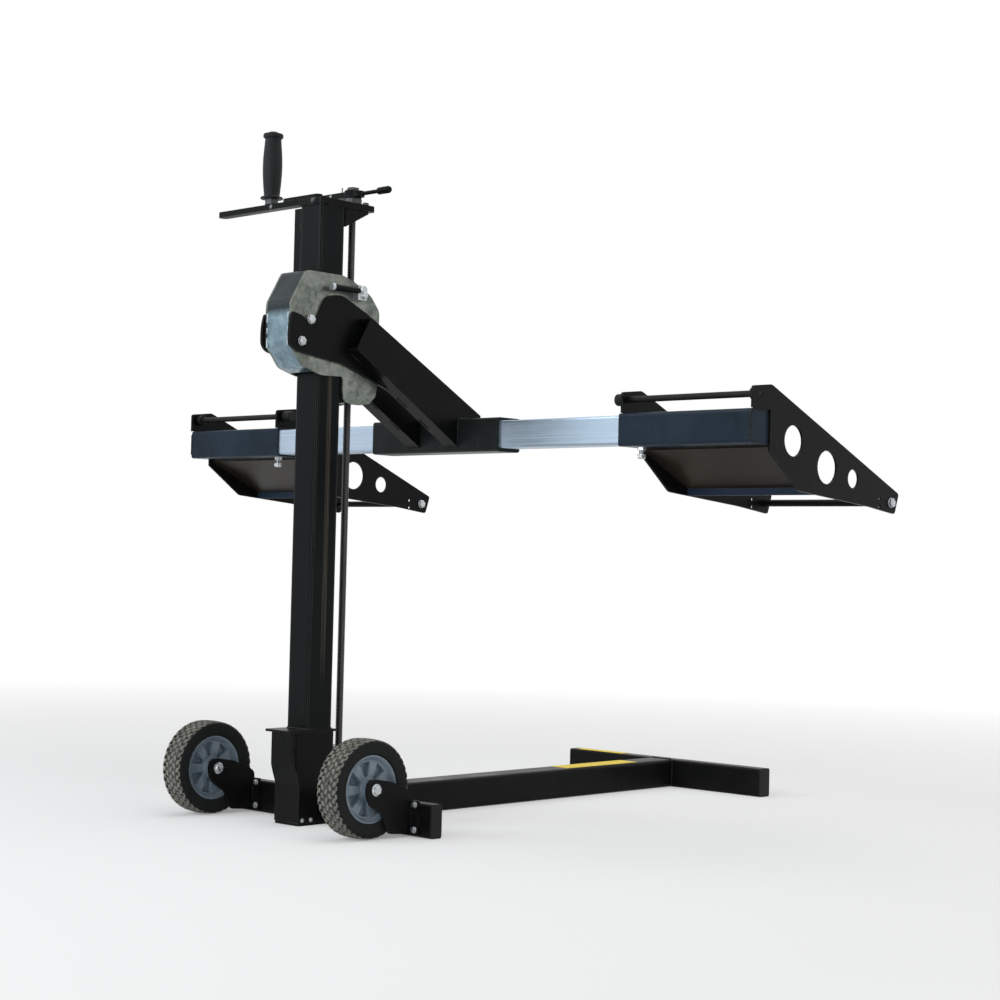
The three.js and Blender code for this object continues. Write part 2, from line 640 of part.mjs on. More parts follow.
function makePan(name, hand) {
  const y = bar.centreY;
  const z = bar.centreZ;
  const half = panSide / 2;
  const low = z - half;
  const front = y + half + gap;
  const { wall, corner } = panSleeve;
  const boltX = hand * (panInner + lockBolt.inset);
  const shankTop = z - bar.side / 2 - gap;
  const boltHole = rod("z", boltX, y, low - overrun, shankTop, lockBolt.radius + gap);
  const sleeve = boxTube("x", y, z, panSide, panSide, wall, corner, ...span(hand, panInner, panOuter))
    .subtract(boltHole);
  addPiece("outer_sleeve_" + name, sleeve, "blackPaint");
  const clamp = bolt("z", boltX, y, low - lockBolt.drop, shankTop, lockBolt, { low: true });
  addPiece("lock_bolt_" + name, clamp, "bolt");

  const { thickness, inset, lap } = panPlate;
  const { tipY, tipZ } = panProfile;
  const innerFace = panInner + inset;
  const innerPlate = makePanPlate(span(hand, innerFace, innerFace + thickness), front);
  const outerPlate = makePanPlate(span(hand, panOuter + gap, panOuter + gap + thickness), front - lap);
  addPiece("pan_plate_inner_" + name, innerPlate, "blackPaint");
  addPiece("pan_plate_outer_" + name, outerPlate, "blackPaint");

  const between = span(hand, innerFace + thickness + gap, panOuter);
  const foot = front + ramp.run;
  const footZ = low - gap - ramp.fall;
  const rampShape = outline([
    [front, low],
    [front + ramp.thickness, low],
    [foot + ramp.thickness, footZ],
    [foot + ramp.thickness, footZ - ramp.lip],
    [foot, footZ - ramp.lip],
    [foot, footZ - ramp.thickness / 2],
    [front, low - ramp.thickness],
  ], 0);
  addPiece("pan_ramp_" + name, prism(rampShape, "x", ...between), "blackPaint");

  const ends = span(hand, innerFace - gap, panOuter + thickness + 2 * gap);
  const tip = bolt(
    "x", tipY - tipRod.setBack, tipZ - tipRod.drop, ...ends, tipRod, { low: true, high: true });
  addPiece("tip_rod_" + name, tip, "bolt");
  const { radius, endRadius, endLength } = stopRod;
  const [stopY, stopZ] = stopPlace();
  const stop = rod(
    "x", stopY, stopZ, ...span(hand, innerFace - endLength, panOuter + gap + thickness), radius)
    .add(rod("x", stopY, stopZ, ...span(hand, innerFace - endLength, innerFace - gap), endRadius))
    .add(rod("x", stopY, stopZ, ...span(hand, panOuter - endLength / 2, panOuter), endRadius));
  addPiece("stop_rod_" + name, stop, "blackPaint");
}

function stopPlace() {
  const half = panSide / 2;
  return [bar.centreY - half + stopRod.setIn, bar.centreZ + half + stopRod.lift];
}

// One side plate of a wheel pan. Its ear stands over the sleeve and its long top edge falls to the
// tip; the outline's low edge and the holes are placed by shares of its reach and fall.
const panLowShares = [[0.968, -0.219], [0.744, -0.154], [0.199, -0.043]];
const panHoleShares = [
  [0.153, 0.458, "rear"], [0.412, 0.22, "middle"], [0.62, 0.125, "front"],
  [0.842, -0.065, "pin"], [0.842, -0.15, "pin"],
];

function makePanPlate(place, rearFace) {
  const { tipY, tipZ, earTop, earDrop } = panProfile;
  const { corner, drop } = panPlate;
  const half = panSide / 2;
  const front = bar.centreY + half + gap;
  const back = bar.centreY - half;
  const low = bar.centreZ - half - gap;
  const high = bar.centreZ + half + gap;
  const reach = tipY - front;
  const fall = earTop - tipZ;
  const at = ([along, up]) => [front + reach * along, tipZ + fall * up];
  const profile = outline([
    [back, high, 0],
    [back, earTop - earDrop],
    [front - earDrop, earTop],
    [tipY, tipZ],
    ...panLowShares.map(at),
    [rearFace, low - drop, 0],
    [rearFace, high, 0],
  ], corner);
  const [stopY, stopZ] = stopPlace();
  const holes = panHoleShares.map((share) => [...at(share), hole[share[2]]]);
  holes.push([tipY - tipRod.setBack, tipZ - tipRod.drop, tipRod.radius + gap]);
  holes.push([stopY, stopZ, stopRod.radius + gap]);
  let plate = prism(profile, "x", ...place);
  for (const [y, z, radius] of holes) {
    plate = plate.subtract(rod("x", y, z, place[0] - overrun, place[1] + overrun, radius, holeSides));
  }
  return plate;
}

makeMast();
makeSocket();
makeBaseTubes();
for (const [name, hand] of sides) {
  makeWheel(name, hand);
  makeFork(name, hand);
}
makeTopBracket();
makeFootBearing();
makeCrank();
makeGrip();
makeCarriagePlates();
makeDriveNut();
makeRollers();
makeArms();
makeRetainingPin();
makeSpan();
for (const [name, hand] of sides) {
  makePan(name, hand);
}

export default lift;
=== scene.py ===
import math

import bmesh
import bpy
from mathutils import Matrix, Vector, noise


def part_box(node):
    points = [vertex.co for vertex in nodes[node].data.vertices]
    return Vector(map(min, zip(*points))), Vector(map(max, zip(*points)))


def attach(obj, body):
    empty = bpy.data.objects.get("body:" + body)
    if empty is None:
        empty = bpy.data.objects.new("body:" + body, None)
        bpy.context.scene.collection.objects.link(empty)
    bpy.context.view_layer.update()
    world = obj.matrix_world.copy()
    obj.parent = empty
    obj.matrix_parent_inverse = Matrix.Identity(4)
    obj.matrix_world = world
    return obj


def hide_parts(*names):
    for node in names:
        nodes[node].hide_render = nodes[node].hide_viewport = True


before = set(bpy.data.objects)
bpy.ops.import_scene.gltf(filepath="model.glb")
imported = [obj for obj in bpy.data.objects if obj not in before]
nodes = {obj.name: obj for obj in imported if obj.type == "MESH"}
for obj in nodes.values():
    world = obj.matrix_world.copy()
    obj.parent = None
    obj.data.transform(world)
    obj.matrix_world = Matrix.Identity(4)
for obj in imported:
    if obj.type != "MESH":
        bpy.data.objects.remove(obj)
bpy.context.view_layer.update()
bpy.context.scene.view_settings.view_transform = "Standard"
mm = 0.001
sides = (("left", -1), ("right", 1))


# ---- camera, light and floor

def newObject(name, data):
    item = bpy.data.objects.new(name, data)
    bpy.context.scene.collection.objects.link(item)
    return item


cameraLook = {
    "place": (3.2395, -2.8582, 0.5714),  # metres
    "yaw": 133.30,  # degrees, from +X towards +Y
    "pitch": 1.719,
    "roll": 1.370,
    "focal": 2000.0,  # pixels, in a frame this wide
    "frameWidth": 1000,
    "sensor": 36.0,
    "clipEnd": 60,
}


def makeCamera(look):
    yaw, pitch, roll = (math.radians(look[key]) for key in ("yaw", "pitch", "roll"))
    ahead = Vector((math.cos(yaw) * math.cos(pitch), math.sin(yaw) * math.cos(pitch), math.sin(pitch)))
    right = Vector((math.sin(yaw), -math.cos(yaw), 0))
    up = right.cross(ahead)
    tiltedRight = right * math.cos(roll) + up * math.sin(roll)
    tiltedUp = up * math.cos(roll) - right * math.sin(roll)
    data = bpy.data.cameras.new("photoCamera")
    data.sensor_width = look["sensor"]
    data.lens = look["focal"] / look["frameWidth"] * look["sensor"]
    data.clip_end = look["clipEnd"]
    camera = newObject("photoCamera", data)
    camera.matrix_world = Matrix((tiltedRight, tiltedUp, -ahead)).transposed().to_4x4()
    camera.matrix_world.translation = look["place"]
    bpy.context.scene.camera = camera


studio = {
    # place, aim, width, height, watts, colour
    "rearKey": ((-2.2, -4.3, 3.0), (0, 0.3, 0.8), 2.4, 2.0, 88, (0.86, 0.94, 1.0)),
    "cornerStrip": ((1.4, -4.6, 1.3), (0, 0, 0.8), 0.4, 2.6, 52, (0.95, 0.98, 1.0)),
    "overhead": ((0.6, 0.8, 4.6), (0, 0.4, 0.6), 3.6, 3.6, 62, (1.0, 1.0, 1.0)),
    "rightStrip": ((4.6, 1.4, 1.6), (0, 0.4, 0.8), 0.4, 2.4, 12, (1.0, 0.95, 0.88)),
}


def makeLights(lamps):
    for name, (place, aim, width, height, watts, colour) in lamps.items():
        data = bpy.data.lights.new(name, "AREA")
        data.shape = "RECTANGLE"
        data.size, data.size_y = width, height
        data.energy = watts
        data.color = colour
        lamp = newObject(name, data)
        lamp.location = place
        lamp.rotation_euler = (Vector(aim) - Vector(place)).to_track_quat("-Z", "Y").to_euler()


def emptyTree(owner):
    owner.use_nodes = True
    owner.node_tree.nodes.clear()
    return owner.node_tree


def addNode(tree, kind, inputs=None, **settings):
    node = tree.nodes.new(kind)
    for key, value in settings.items():
        setattr(node, key, value)
    for key, value in (inputs or {}).items():
        if isinstance(value, bpy.types.NodeSocket):
            tree.links.new(value, node.inputs[key])
        else:
            node.inputs[key].default_value = value
    return node


def mathNode(tree, operation, first, second=0.0, clamp=False):
    inputs = {0: first, 1: second}
    return addNode(tree, "ShaderNodeMath", inputs, operation=operation, use_clamp=clamp).outputs[0]


def product(tree, first, *others):
    for other in others:
        first = mathNode(tree, "MULTIPLY", first, other)
    return first


def spread(tree, value, fromLow, fromHigh, toLow=0.0, toHigh=1.0):
    return addNode(tree, "ShaderNodeMapRange", {
        "Value": value, "From Min": fromLow, "From Max": fromHigh, "To Min": toLow, "To Max": toHigh,
    }).outputs["Result"]


def seenByEye(tree):
    # camera, glossy and transmission rays all see the plain background
    rays = addNode(tree, "ShaderNodeLightPath").outputs
    both = mathNode(tree, "MAXIMUM", rays["Is Camera Ray"], rays["Is Glossy Ray"])
    return mathNode(tree, "MAXIMUM", both, rays["Is Transmission Ray"])


floorLook = {
    "size": 60.0,  # metres
    "colour": (0.90, 0.90, 0.90),
    "ambient": 0.5,  # the world's light on the object
    "nearWhite": 0.25,  # share of plain white that the eye sees in the floor, near and far
    "farWhite": 1.0,
    "fadeFrom": 1.7,
    "fadeTo": 4.6,
}


def makeSurroundings(look):
    world = bpy.data.worlds.new("studioWorld")
    bpy.context.scene.world = world
    tree = emptyTree(world)
    strength = spread(tree, seenByEye(tree), 0, 1, look["ambient"])
    background = addNode(tree, "ShaderNodeBackground", {"Color": (1, 1, 1, 1), "Strength": strength})
    addNode(tree, "ShaderNodeOutputWorld", {"Surface": background.outputs[0]})

    material = bpy.data.materials.new("paleFloor")
    tree = emptyTree(material)
    flat = addNode(tree, "ShaderNodeBsdfDiffuse", {"Color": (*look["colour"], 1)})
    glow = addNode(tree, "ShaderNodeEmission", {"Color": (1, 1, 1, 1), "Strength": 1.0})
    place = addNode(tree, "ShaderNodeNewGeometry").outputs["Position"]
    away = addNode(tree, "ShaderNodeVectorMath", {0: place}, operation="LENGTH").outputs["Value"]
    white = spread(tree, away, look["fadeFrom"], look["fadeTo"], look["nearWhite"], look["farWhite"])
    share = product(tree, seenByEye(tree), white)
    mix = addNode(tree, "ShaderNodeMixShader", {0: share, 1: flat.outputs[0], 2: glow.outputs[0]})
    addNode(tree, "ShaderNodeOutputMaterial", {"Surface": mix.outputs[0]})
    mesh = bpy.data.meshes.new("floor")
    half = look["size"] / 2
    corners = [(-half, -half, 0), (half, -half, 0), (half, half, 0), (-half, half, 0)]
    mesh.from_pydata(corners, [], [(0, 1, 2, 3)])
    mesh.materials.append(material)
    floor = newObject("floor", mesh)


makeCamera(cameraLook)
makeLights(studio)
makeSurroundings(floorLook)
print("camera, lamps and floor are in place")


# ---- shader node groups: each of these functions gives an effect that several materials use

def noiseNode(tree, vector, scale, detail, roughness=0.5, distortion=0.0):
    return addNode(tree, "ShaderNodeTexNoise", {
        "Vector": vector, "Scale": scale, "Detail": detail, "Roughness": roughness, "Distortion": distortion,
    }).outputs["Fac"]


def splitVector(tree, vector):
    return addNode(tree, "ShaderNodeSeparateXYZ", {0: vector}).outputs


def objectPoint(tree):
    return addNode(tree, "ShaderNodeTexCoord").outputs["Object"]


def fineGrain(group, given):
    # fine orange peel of a powder coat or a moulded skin
    return noiseNode(group, objectPoint(group), given["Scale"], 3.0, given["Roughness"])


def rubbedEdges(group, given):
    # where the rounded normal leaves the face's own normal, paint is rubbed and light; where the band is made
    # wide, as on the mast, it is also a painted highlight along rounded corners
    rounded = addNode(group, "ShaderNodeBevel", {"Radius": given["Width"]}, samples=4)
    normal = addNode(group, "ShaderNodeNewGeometry").outputs["Normal"]
    dot = addNode(group, "ShaderNodeVectorMath", {0: rounded.outputs[0], 1: normal}, operation="DOT_PRODUCT")
    edge = spread(group, dot.outputs["Value"], 0.995, 0.90)
    patches = noiseNode(group, objectPoint(group), given["Scale"], 4.0)
    low = product(group, given["Patchiness"], 0.75)
    return product(group, edge, spread(group, patches, low, mathNode(group, "ADD", low, 0.22)))


def settledDust(group, given):
    # thin dust on faces that look up, and more of it near the floor
    surface = addNode(group, "ShaderNodeNewGeometry").outputs
    up = spread(group, splitVector(group, surface["Normal"])["Z"], 0.2, 1.0, 0.12)
    low = spread(group, splitVector(group, surface["Position"])["Z"], 0.0, 0.35, 1.0, 0.35)
    patches = noiseNode(group, objectPoint(group), given["Scale"], 6.0, 0.65)
    return product(group, up, low, spread(group, patches, 0.35, 0.7, 0.2), given["Amount"])


def drawnStreaks(group, given):
    # long scratches or drawing lines: noise pulled out along one axis
    scale = addNode(group, "ShaderNodeCombineXYZ", {0: given["X"], 1: given["Y"], 2: given["Z"]}).outputs[0]
    pulled = addNode(group, "ShaderNodeVectorMath", {0: objectPoint(group), 1: scale}, operation="MULTIPLY")
    return noiseNode(group, pulled.outputs[0], 1.0, 5.0, 0.6)


def softClouds(group, given):
    # soft uneven patches, as in old zinc or handled paint
    broad = noiseNode(group, objectPoint(group), given["Scale"], 6.0, 0.6, 0.6)
    half = product(group, given["Contrast"], 0.5)
    low, high = (mathNode(group, operation, 0.5, half) for operation in ("SUBTRACT", "ADD"))
    return spread(group, broad, 0.25, 0.75, low, high)


def zincSpangle(group, given):
    # the crystal facets of zinc plate
    cells = addNode(group, "ShaderNodeTexVoronoi", {"Vector": objectPoint(group), "Scale": given["Scale"]})
    return addNode(group, "ShaderNodeSeparateColor", {0: cells.outputs["Color"]}).outputs[0]


def makeGroup(effect, *inputs):
    group = bpy.data.node_groups.new(effect.__name__, "ShaderNodeTree")
    for name in inputs:
        group.interface.new_socket(name, in_out="INPUT", socket_type="NodeSocketFloat")
    group.interface.new_socket("Value", in_out="OUTPUT", socket_type="NodeSocketFloat")
    result = effect(group, group.nodes.new("NodeGroupInput").outputs)
    group.links.new(result, group.nodes.new("NodeGroupOutput").inputs[0])
    return group


grainGroup = makeGroup(fineGrain, "Scale", "Roughness")
edgeWearAndHighlightGroup = makeGroup(rubbedEdges, "Width", "Patchiness", "Scale")
dustGroup = makeGroup(settledDust, "Amount", "Scale")
streakGroup = makeGroup(drawnStreaks, "X", "Y", "Z")
cloudGroup = makeGroup(softClouds, "Scale", "Contrast")
spangleGroup = makeGroup(zincSpangle, "Scale")


def placeGroup(tree, group, **inputs):
    return addNode(tree, "ShaderNodeGroup", inputs, node_tree=group).outputs[0]


# ---- materials; colours are given as they are seen, 0 to 255

def linear(*seen):
    # the values that shaders use
    shares = [value / 255 for value in seen]
    return *(s / 12.92 if s <= 0.04045 else ((s + 0.055) / 1.055) ** 2.4 for s in shares), 1.0


def mixColour(tree, factor, *pair):
    first, second = (value if isinstance(value, bpy.types.NodeSocket) else linear(*value) for value in pair)
    inputs = {"Factor": factor, 6: first, 7: second}
    return addNode(tree, "ShaderNodeMix", inputs, data_type="RGBA").outputs[2]


def startMaterial(name, scale, contrast):
    material = bpy.data.materials.new(name)
    tree = emptyTree(material)
    return material, tree, placeGroup(tree, cloudGroup, Scale=scale, Contrast=contrast)


def addDust(tree, colour, dust, amount, scale):
    film = placeGroup(tree, dustGroup, Amount=amount, Scale=scale)
    return film, mixColour(tree, film, colour, dust)


def roughened(tree, satin, film):
    return mathNode(tree, "ADD", satin, product(tree, film, 0.5), clamp=True)


def finishMaterial(material, colour, roughness, height, depth, constants):
    tree = material.node_tree
    bump = addNode(tree, "ShaderNodeBump", {"Height": height, "Strength": 1.0, "Distance": depth})
    shader = addNode(tree, "ShaderNodeBsdfPrincipled", {
        "Base Color": colour, "Roughness": roughness, "Normal": bump.outputs[0], **constants,
    })
    addNode(tree, "ShaderNodeOutputMaterial", {"Surface": shader.outputs[0]})
    return material


def heightMask(tree, low, high):
    return spread(tree, splitVector(tree, objectPoint(tree))["Z"], low, high)


mastTrack = {
    "y": 0.002, "half": 0.008, "low": 0.28, "high": 1.17,  # metres
    "fadeLow": 0.08, "fadeHigh": 0.03, "strength": 0.55, "colour": (104, 96, 86),
}


def trackMask(tree, track):
    # where the rollers and plates have rubbed a face: a band of Y and Z on the faces that look along X
    normal = splitVector(tree, addNode(tree, "ShaderNodeNewGeometry").outputs["Normal"])
    place = splitVector(tree, objectPoint(tree))
    half, low, high = track["half"], track["low"], track["high"]
    facing = spread(tree, mathNode(tree, "ABSOLUTE", normal["X"]), 0.9, 1.0)
    offset = mathNode(tree, "ABSOLUTE", mathNode(tree, "SUBTRACT", place["Y"], track["y"]))
    across = spread(tree, offset, half * 0.5, half, 1.0, 0.0)
    above = spread(tree, place["Z"], low, low + track["fadeLow"])
    below = spread(tree, place["Z"], high - track["fadeHigh"], high, 1.0, 0.0)
    lines = placeGroup(tree, streakGroup, X=40.0, Y=600.0, Z=5.0)
    return product(tree, facing, across, above, below, spread(tree, lines, 0.38, 0.62), track["strength"])


paintLook = {
    "deep": (5, 6, 7),
    "worn": (13, 15, 17),
    # colour of rubbed paint and scratches, and of the painted highlight on wide edge bands
    "rubbed": (84, 84, 82),
    "dust": (104, 96, 84),
    "dusty": 0.25,
    "rub": 0.5,
    "edge": 0.0011,  # metres
    "gloss": 0.26,
    "shine": 0.08,
    "scratches": 0.12,
    "track": None,
    "lip": None,
}


def paintMaterial(name, **changes):
    look = {**paintLook, **changes}
    rubbed, track, lip = look["rubbed"], look["track"], look["lip"]
    material, tree, clouds = startMaterial(name, 7.0, 0.9)
    colour = mixColour(tree, clouds, look["deep"], look["worn"])
    # below a height the paint takes another colour: a painted reflection on a lip that faces the cool light
    if lip:
        colour = mixColour(tree, heightMask(tree, lip["low"], lip["high"]), lip["colour"], colour)
    scratches = placeGroup(tree, streakGroup, X=190.0, Y=190.0, Z=14.0)
    colour = mixColour(tree, spread(tree, scratches, 0.64, 0.74, 0.0, look["scratches"]), colour, rubbed)
    if track:
        colour = mixColour(tree, trackMask(tree, track), colour, track["colour"])
    # edges are lightened: rubbed paint, and a painted highlight where the band is wide
    edges = placeGroup(tree, edgeWearAndHighlightGroup, Width=look["edge"], Patchiness=look["rub"], Scale=45.0)
    colour = mixColour(tree, product(tree, edges, 0.75), colour, rubbed)
    film, colour = addDust(tree, colour, look["dust"], look["dusty"], 11.0)
    roughness = roughened(tree, spread(tree, clouds, 0.0, 1.0, look["gloss"], look["gloss"] + 0.14), film)
    grain = placeGroup(tree, grainGroup, Scale=420.0, Roughness=0.45)
    return finishMaterial(material, colour, roughness, grain, 0.00012, {"Specular IOR Level": look["shine"]})


plateLook = {
    "bright": (146, 152, 144), "dull": (66, 73, 69), "stain": (56, 52, 44), "rough": 0.26,
    "scale": 16.0, "stained": 0.35, "shadeShare": 0.0,
}
# the web's zinc is a lighter, bluer copy of the plates' zinc, a painted reflection of bright light; from
# shadeFrom upward it is painted dark, a painted reflection of dark surroundings
webLook = {
    **plateLook, "bright": (158, 182, 194), "dull": (84, 104, 116), "stain": (60, 62, 62), "rough": 0.2,
    "shade": (30, 33, 33), "shadeFrom": 1.074, "shadeTo": 1.092, "shadeShare": 0.92,  # heights in metres
}
boltLook = {
    **plateLook, "bright": (214, 218, 220), "dull": (150, 156, 162), "stain": (96, 88, 74), "rough": 0.22,
    "scale": 60.0, "stained": 0.25,
}
weldZincLook = {
    **plateLook, "bright": (196, 208, 214), "dull": (128, 142, 150), "stain": (84, 90, 92), "rough": 0.24,
    "scale": 90.0, "stained": 0.2,
}


def zincMaterial(name, look):
    material, tree, clouds = startMaterial(name, look["scale"], 1.0)
    facets = placeGroup(tree, spangleGroup, Scale=150.0)
    tone = mathNode(tree, "ADD", product(tree, clouds, 0.8), product(tree, facets, 0.2))
    colour = mixColour(tree, tone, look["dull"], look["bright"])
    marks = placeGroup(tree, cloudGroup, Scale=look["scale"] * 2.3, Contrast=1.6)
    dirty = spread(tree, marks, 0.62, 0.95, 0.0, look["stained"])
    colour = mixColour(tree, dirty, colour, look["stain"])
    # painted shade: above a height the colour darkens, standing in for a dark reflection
    if look["shadeShare"]:
        dark = product(tree, heightMask(tree, look["shadeFrom"], look["shadeTo"]), look["shadeShare"])
        colour = mixColour(tree, dark, colour, look["shade"])
    roughness = roughened(tree, spread(tree, tone, 0.0, 1.0, look["rough"] + 0.14, look["rough"]), dirty)
    grain = placeGroup(tree, grainGroup, Scale=260.0, Roughness=0.6)
    return finishMaterial(material, colour, roughness, grain, 0.00015, {"Metallic": 0.88})


barLook = {"bright": (188, 204, 218), "dull": (144, 162, 182), "rough": 0.27, "across": (3.0, 420.0, 420.0)}
darkLook = {"bright": (88, 88, 90), "dull": (42, 43, 46), "rough": 0.34, "across": (260.0, 260.0, 40.0)}


def steelMaterial(name, look):
    material, tree, clouds = startMaterial(name, 9.0, 0.8)
    lines = placeGroup(tree, streakGroup, **dict(zip("XYZ", look["across"])))
    tone = mathNode(tree, "ADD", product(tree, lines, 0.7), product(tree, clouds, 0.35))
    colour = mixColour(tree, tone, look["dull"], look["bright"])
    roughness = spread(tree, lines, 0.3, 0.7, look["rough"], look["rough"] + 0.16)
    return finishMaterial(material, colour, roughness, lines, 0.00006, {"Metallic": 0.9})


def plasticMaterial(name, deep, light, rough, grain, dusty=0.15, shine=0.35):
    material, tree, clouds = startMaterial(name, 26.0, 0.9)
    _, colour = addDust(tree, mixColour(tree, clouds, deep, light), (120, 112, 98), dusty, 18.0)
    roughness = spread(tree, clouds, 0.0, 1.0, rough, rough + 0.12)
    bumps = placeGroup(tree, grainGroup, Scale=grain, Roughness=0.5)
    return finishMaterial(material, colour, roughness, bumps, 0.0001, {"Specular IOR Level": shine})


rubberLook = {
    "axle": (-0.073, 0.1016),  # Y and Z, metres
    "crown": (0.0966, 0.0990),  # radii over which the tread begins, metres
    "deep": (10, 12, 13), "light": (20, 22, 23), "scuffed": (140, 139, 131), "dust": (118, 113, 104),
}


def rubberMaterial(name, look):
    # the tread is scuffed brown-grey, the side walls stay darker
    material, tree, patches = startMaterial(name, 55.0, 1.1)
    place = splitVector(tree, objectPoint(tree))
    offsets = [mathNode(tree, "SUBTRACT", place[axis], axle) for axis, axle in zip("YZ", look["axle"])]
    squares = mathNode(tree, "ADD", *(product(tree, offset, offset) for offset in offsets))
    crown = spread(tree, mathNode(tree, "SQRT", squares), *look["crown"])
    colour = mixColour(tree, patches, look["deep"], look["light"])
    scuffs = product(tree, crown, spread(tree, patches, 0.1, 0.9, 0.35, 0.95))
    _, colour = addDust(tree, mixColour(tree, scuffs, colour, look["scuffed"]), look["dust"], 0.14, 30.0)
    roughness = spread(tree, patches, 0.0, 1.0, 0.62, 0.82)
    grain = placeGroup(tree, grainGroup, Scale=700.0, Roughness=0.6)
    return finishMaterial(material, colour, roughness, grain, 0.0002, {"Specular IOR Level": 0.2})


# the ramp's lip, its -Y face below this height, is painted navy: a painted reflection of the cool light
rampLipReflection = {"colour": (34, 47, 64), "low": 0.7352, "high": 0.7372}  # metres
blackPaint = paintMaterial("blackPaint")
# the mast's wide edge band is a painted highlight along its rounded corners, besides rubbed paint
mastPaint = paintMaterial("mastPaint", dusty=0.08, rub=0.3, deep=(5, 8, 9), worn=(12, 17, 19),
                          track=mastTrack, edge=0.0026)
crankPaint = paintMaterial("crankPaint", dusty=0.04, rub=0.4, deep=(3, 6, 7), worn=(9, 14, 16), gloss=0.34)
centrePaint = paintMaterial("centrePaint", dusty=0.15, deep=(16, 20, 22), worn=(34, 39, 40))
basePaint = paintMaterial("basePaint", rub=0.45)
forkPaint = paintMaterial("forkPaint", gloss=0.32)
# the sleeves' navy is lighter and bluer than the other black paint: partly a painted cool light
sleevePaint = paintMaterial("sleevePaint", dusty=0.12, rub=0.55, deep=(20, 30, 40), worn=(38, 53, 66),
                            gloss=0.24)
rampPaint = paintMaterial("rampPaint", dusty=0.05, rub=0.4, deep=(16, 13, 10), worn=(40, 34, 27), lip=rampLipReflection)
zincPlate = zincMaterial("zincPlate", plateLook)
webZinc = zincMaterial("webZinc", webLook)
boltZinc = zincMaterial("boltZinc", boltLook)
weldZinc = zincMaterial("weldZinc", weldZincLook)
barSteel = steelMaterial("barSteel", barLook)
darkSteel = steelMaterial("darkSteel", darkLook)
tyreRubber = rubberMaterial("tyreRubber", rubberLook)
rimPlastic = plasticMaterial("rimPlastic", (86, 101, 114), (128, 143, 156), 0.24, 500.0, shine=0.6)
gripPlastic = plasticMaterial("gripPlastic", (9, 11, 12), (20, 24, 27), 0.45, 900.0, dusty=0.04, shine=0.2)
rollerPlastic = plasticMaterial("rollerPlastic", (28, 28, 30), (44, 44, 46), 0.45, 500.0)
capPlastic = plasticMaterial("capPlastic", (10, 11, 11), (20, 21, 21), 0.5, 700.0, dusty=0.2, shine=0.2)
yellowTape = plasticMaterial("yellowTape", (222, 190, 24), (240, 214, 52), 0.5, 300.0, dusty=0.05)
print("materials are made")


# ---- mesh tools; the axis letter says along which axis a form is turned or pushed out

axisTurns = {
    "x": Matrix(((0, 0, 1), (1, 0, 0), (0, 1, 0))),
    "y": Matrix(((0, 1, 0), (0, 0, 1), (1, 0, 0))),
    "z": Matrix.Identity(3),
}


def inMm(box):
    # its low corner, high corner and middle
    low, high = (corner / mm for corner in box)
    return low, high, (low + high) / 2


def addPoint(bm, axis, a, b, along):
    return bm.verts.new(axisTurns[axis] @ Vector((a, b, along)) * mm)


def addRing(bm, axis, a, b, along, radii, start=0.0):
    ring = []
    for i, radius in enumerate(radii):
        angle = start + 2 * math.pi * i / len(radii)
        ring.append(addPoint(bm, axis, a + radius * math.cos(angle), b + radius * math.sin(angle), along))
    return ring


def addSkin(bm, rings, loop=False, caps=False):
    # joins ring to ring; a ring of one vertex closes the form in a point
    for lower, upper in zip(rings, rings[1:] + rings[:1] if loop else rings[1:]):
        count = max(len(lower), len(upper))
        for i in range(count):
            j = (i + 1) % count
            corners = [ring[k % len(ring)] for ring, k in ((lower, i), (lower, j), (upper, j), (upper, i))]
            bm.faces.new(list(dict.fromkeys(corners)))
    if caps:
        bm.faces.new(rings[0][::-1])
        bm.faces.new(rings[-1])


def addLathe(bm, axis, a, b, profile, steps=32, loop=False, start=0.0):
    # profile holds (radius, place along the axis); a radius of 0 closes the form
    rings = [addRing(bm, axis, a, b, along, [radius] * (steps if radius > 0 else 1), start)
             for radius, along in profile]
    addSkin(bm, rings, loop)


def addRod(bm, axis, a, b, low, high, radius, steps=24):
    addLathe(bm, axis, a, b, [(0, low), (radius, low), (radius, high), (0, high)], steps)


def addPrism(bm, axis, points, low, high):
    rings = [[addPoint(bm, axis, a, b, along) for a, b in points] for along in (low, high)]
    addSkin(bm, rings, caps=True)


weldLook = {
    "pitch": 2.1, "radius": 2.3, "steps": 8,
    "ripple": 0.28, "swell": 0.12, "swellScale": 0.4,
    "wander": 0.25, "wanderScale": 0.11,
}


def addWeld(bm, corners, radius=weldLook["radius"], closed=False):
    # a bead that is laid in small overlapping steps along straight runs
    look = weldLook
    corners = [Vector(corner) for corner in corners]
    points = []
    for start, end in zip(corners, corners[1:] + corners[:1] if closed else corners[1:]):
        count = max(2, round((end - start).length / look["pitch"] * 2))
        points += [start.lerp(end, k / count) for k in range(count)]
    if not closed:
        points.append(corners[-1])
    points = [p + Vector(noise.noise_vector(p * look["wanderScale"])) * look["wander"] for p in points]
    angles = [2 * math.pi * k / look["steps"] for k in range(look["steps"])]
    rings = []
    side = None
    for i, point in enumerate(points):
        after = points[(i + 1) % len(points)] if closed or i < len(points) - 1 else point
        before = points[i - 1] if closed or i > 0 else point
        ahead = (after - before).normalized()
        if side is None:
            side = ahead.orthogonal().normalized()
        side = (side - ahead * side.dot(ahead)).normalized()
        other = ahead.cross(side)
        swell = look["swell"] * noise.noise(point * look["swellScale"])
        size = radius * (1 - (look["ripple"] if i % 2 else 0.0) * 0.5 + swell)
        rings.append([bm.verts.new((point + (side * math.cos(t) + other * math.sin(t)) * size) * mm)
                      for t in angles])
    addSkin(bm, rings, loop=closed, caps=not closed)


